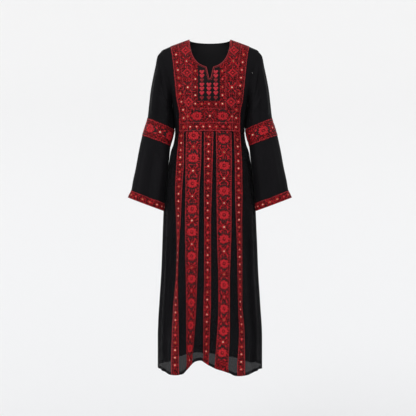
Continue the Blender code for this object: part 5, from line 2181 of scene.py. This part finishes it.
@dataclass
class Studio:
    """The plain pale floor that curves up behind, the soft lights and the camera."""

    floor_height: float = -2.00
    floor_half_width: float = 7.0
    floor_front: float = -6.0
    bend_start: float = 1.5
    bend_radius: float = 2.2
    wall_top: float = 3.6
    room_light: float = 0.78
    sun_light: float = 0.95
    sun_width: float = 35.0
    sun_from: tuple[float, float, float] = (-1.2, -1.9, 2.3)
    camera_place: tuple[float, float, float] = (-0.0076, -3.5, -0.6806)
    camera_lens: float = 72.1

    def build(self) -> None:
        """Makes floor, lights and camera."""
        self.floor()
        self.lights()
        self.camera()

    def floor(self) -> None:
        """A profile of floor, quarter circle and wall, carried straight across."""
        turn = np.linspace(0.0, QUARTER, 25)
        bend_away = self.bend_start + self.bend_radius * np.sin(turn)
        bend_up = self.floor_height + self.bend_radius * (1.0 - np.cos(turn))
        away = np.concatenate([[self.floor_front], bend_away, bend_away[-1:]])
        up = np.concatenate([[self.floor_height], bend_up, [self.wall_top]])
        across = np.linspace(-self.floor_half_width, self.floor_half_width, 9)
        points = np.stack(
            [
                np.broadcast_to(across, (len(away), len(across))),
                np.broadcast_to(away[:, None], (len(away), len(across))),
                np.broadcast_to(up[:, None], (len(away), len(across))),
            ],
            axis=-1,
        )
        numbers = corners(grid_numbers(*points.shape[:2], False))
        flats = corners(points[..., :2])
        draft = MeshDraft()
        draft.add(points, numbers, flats)
        draft.build("studio_floor", Paper().made("pale_paper"))

    def lights(self) -> None:
        """One broad soft light from above the front's right, in a bright white room."""
        world = bpy.data.worlds.new("bright_room")
        world.use_nodes = True
        sky = world.node_tree.nodes["Background"]
        sky.inputs["Color"].default_value = (1.0, 1.0, 1.0, 1.0)
        sky.inputs["Strength"].default_value = self.room_light
        bpy.context.scene.world = world
        lamp = bpy.data.lights.new("soft_front", "SUN")
        lamp.angle = math.radians(self.sun_width)
        lamp.energy = self.sun_light
        made = bpy.data.objects.new("soft_front", lamp)
        bpy.context.scene.collection.objects.link(made)
        made.location = self.sun_from
        made.rotation_euler = self.aimed(self.sun_from, (0.0, 0.0, 0.0))

    def aimed(self, place: tuple[float, ...], target: tuple[float, ...]) -> tuple[float, ...]:
        """Turn that points an object's -Z from its place to a target."""
        over, away, up = np.array(target) - np.array(place)
        tilt = math.atan2(math.hypot(over, away), -up)
        return (tilt, 0.0, math.atan2(-over, away))

    def camera(self) -> None:
        """The level camera in front of the dress."""
        lens = bpy.data.cameras.new("front_camera")
        lens.lens = self.camera_lens
        lens.clip_end = 100.0
        made = bpy.data.objects.new("front_camera", lens)
        bpy.context.scene.collection.objects.link(made)
        made.location = self.camera_place
        made.rotation_euler = (QUARTER, 0.0, 0.0)
        bpy.context.scene.camera = made
        bpy.context.scene.view_settings.view_transform = "Standard"


def main() -> None:
    """Builds the studio and then the dress, piece by piece."""
    logging.basicConfig(level=logging.INFO, format="%(name)s %(message)s")
    Studio().build()
    finishes = Finishes.all_made()
    body_form = BodyForm()
    front_cut = FrontCut(body_form)
    front = front_cut.grid()
    back = BackCut(body_form, front_cut).grid()
    Body(body_form, front, back, front_cut.waist_row, finishes).build()
    for hand in Hand:
        Sleeve(SleeveForm(body_form, hand), finishes).build()
    ChestPanel(front_cut, front, finishes).build()
    SkirtBands(front_cut, front, finishes).build()
    NeckPiping(front_cut, front, finishes).build()
    Lining(LiningForm(body_form), finishes).build()


if __name__ == "__main__":
    main()
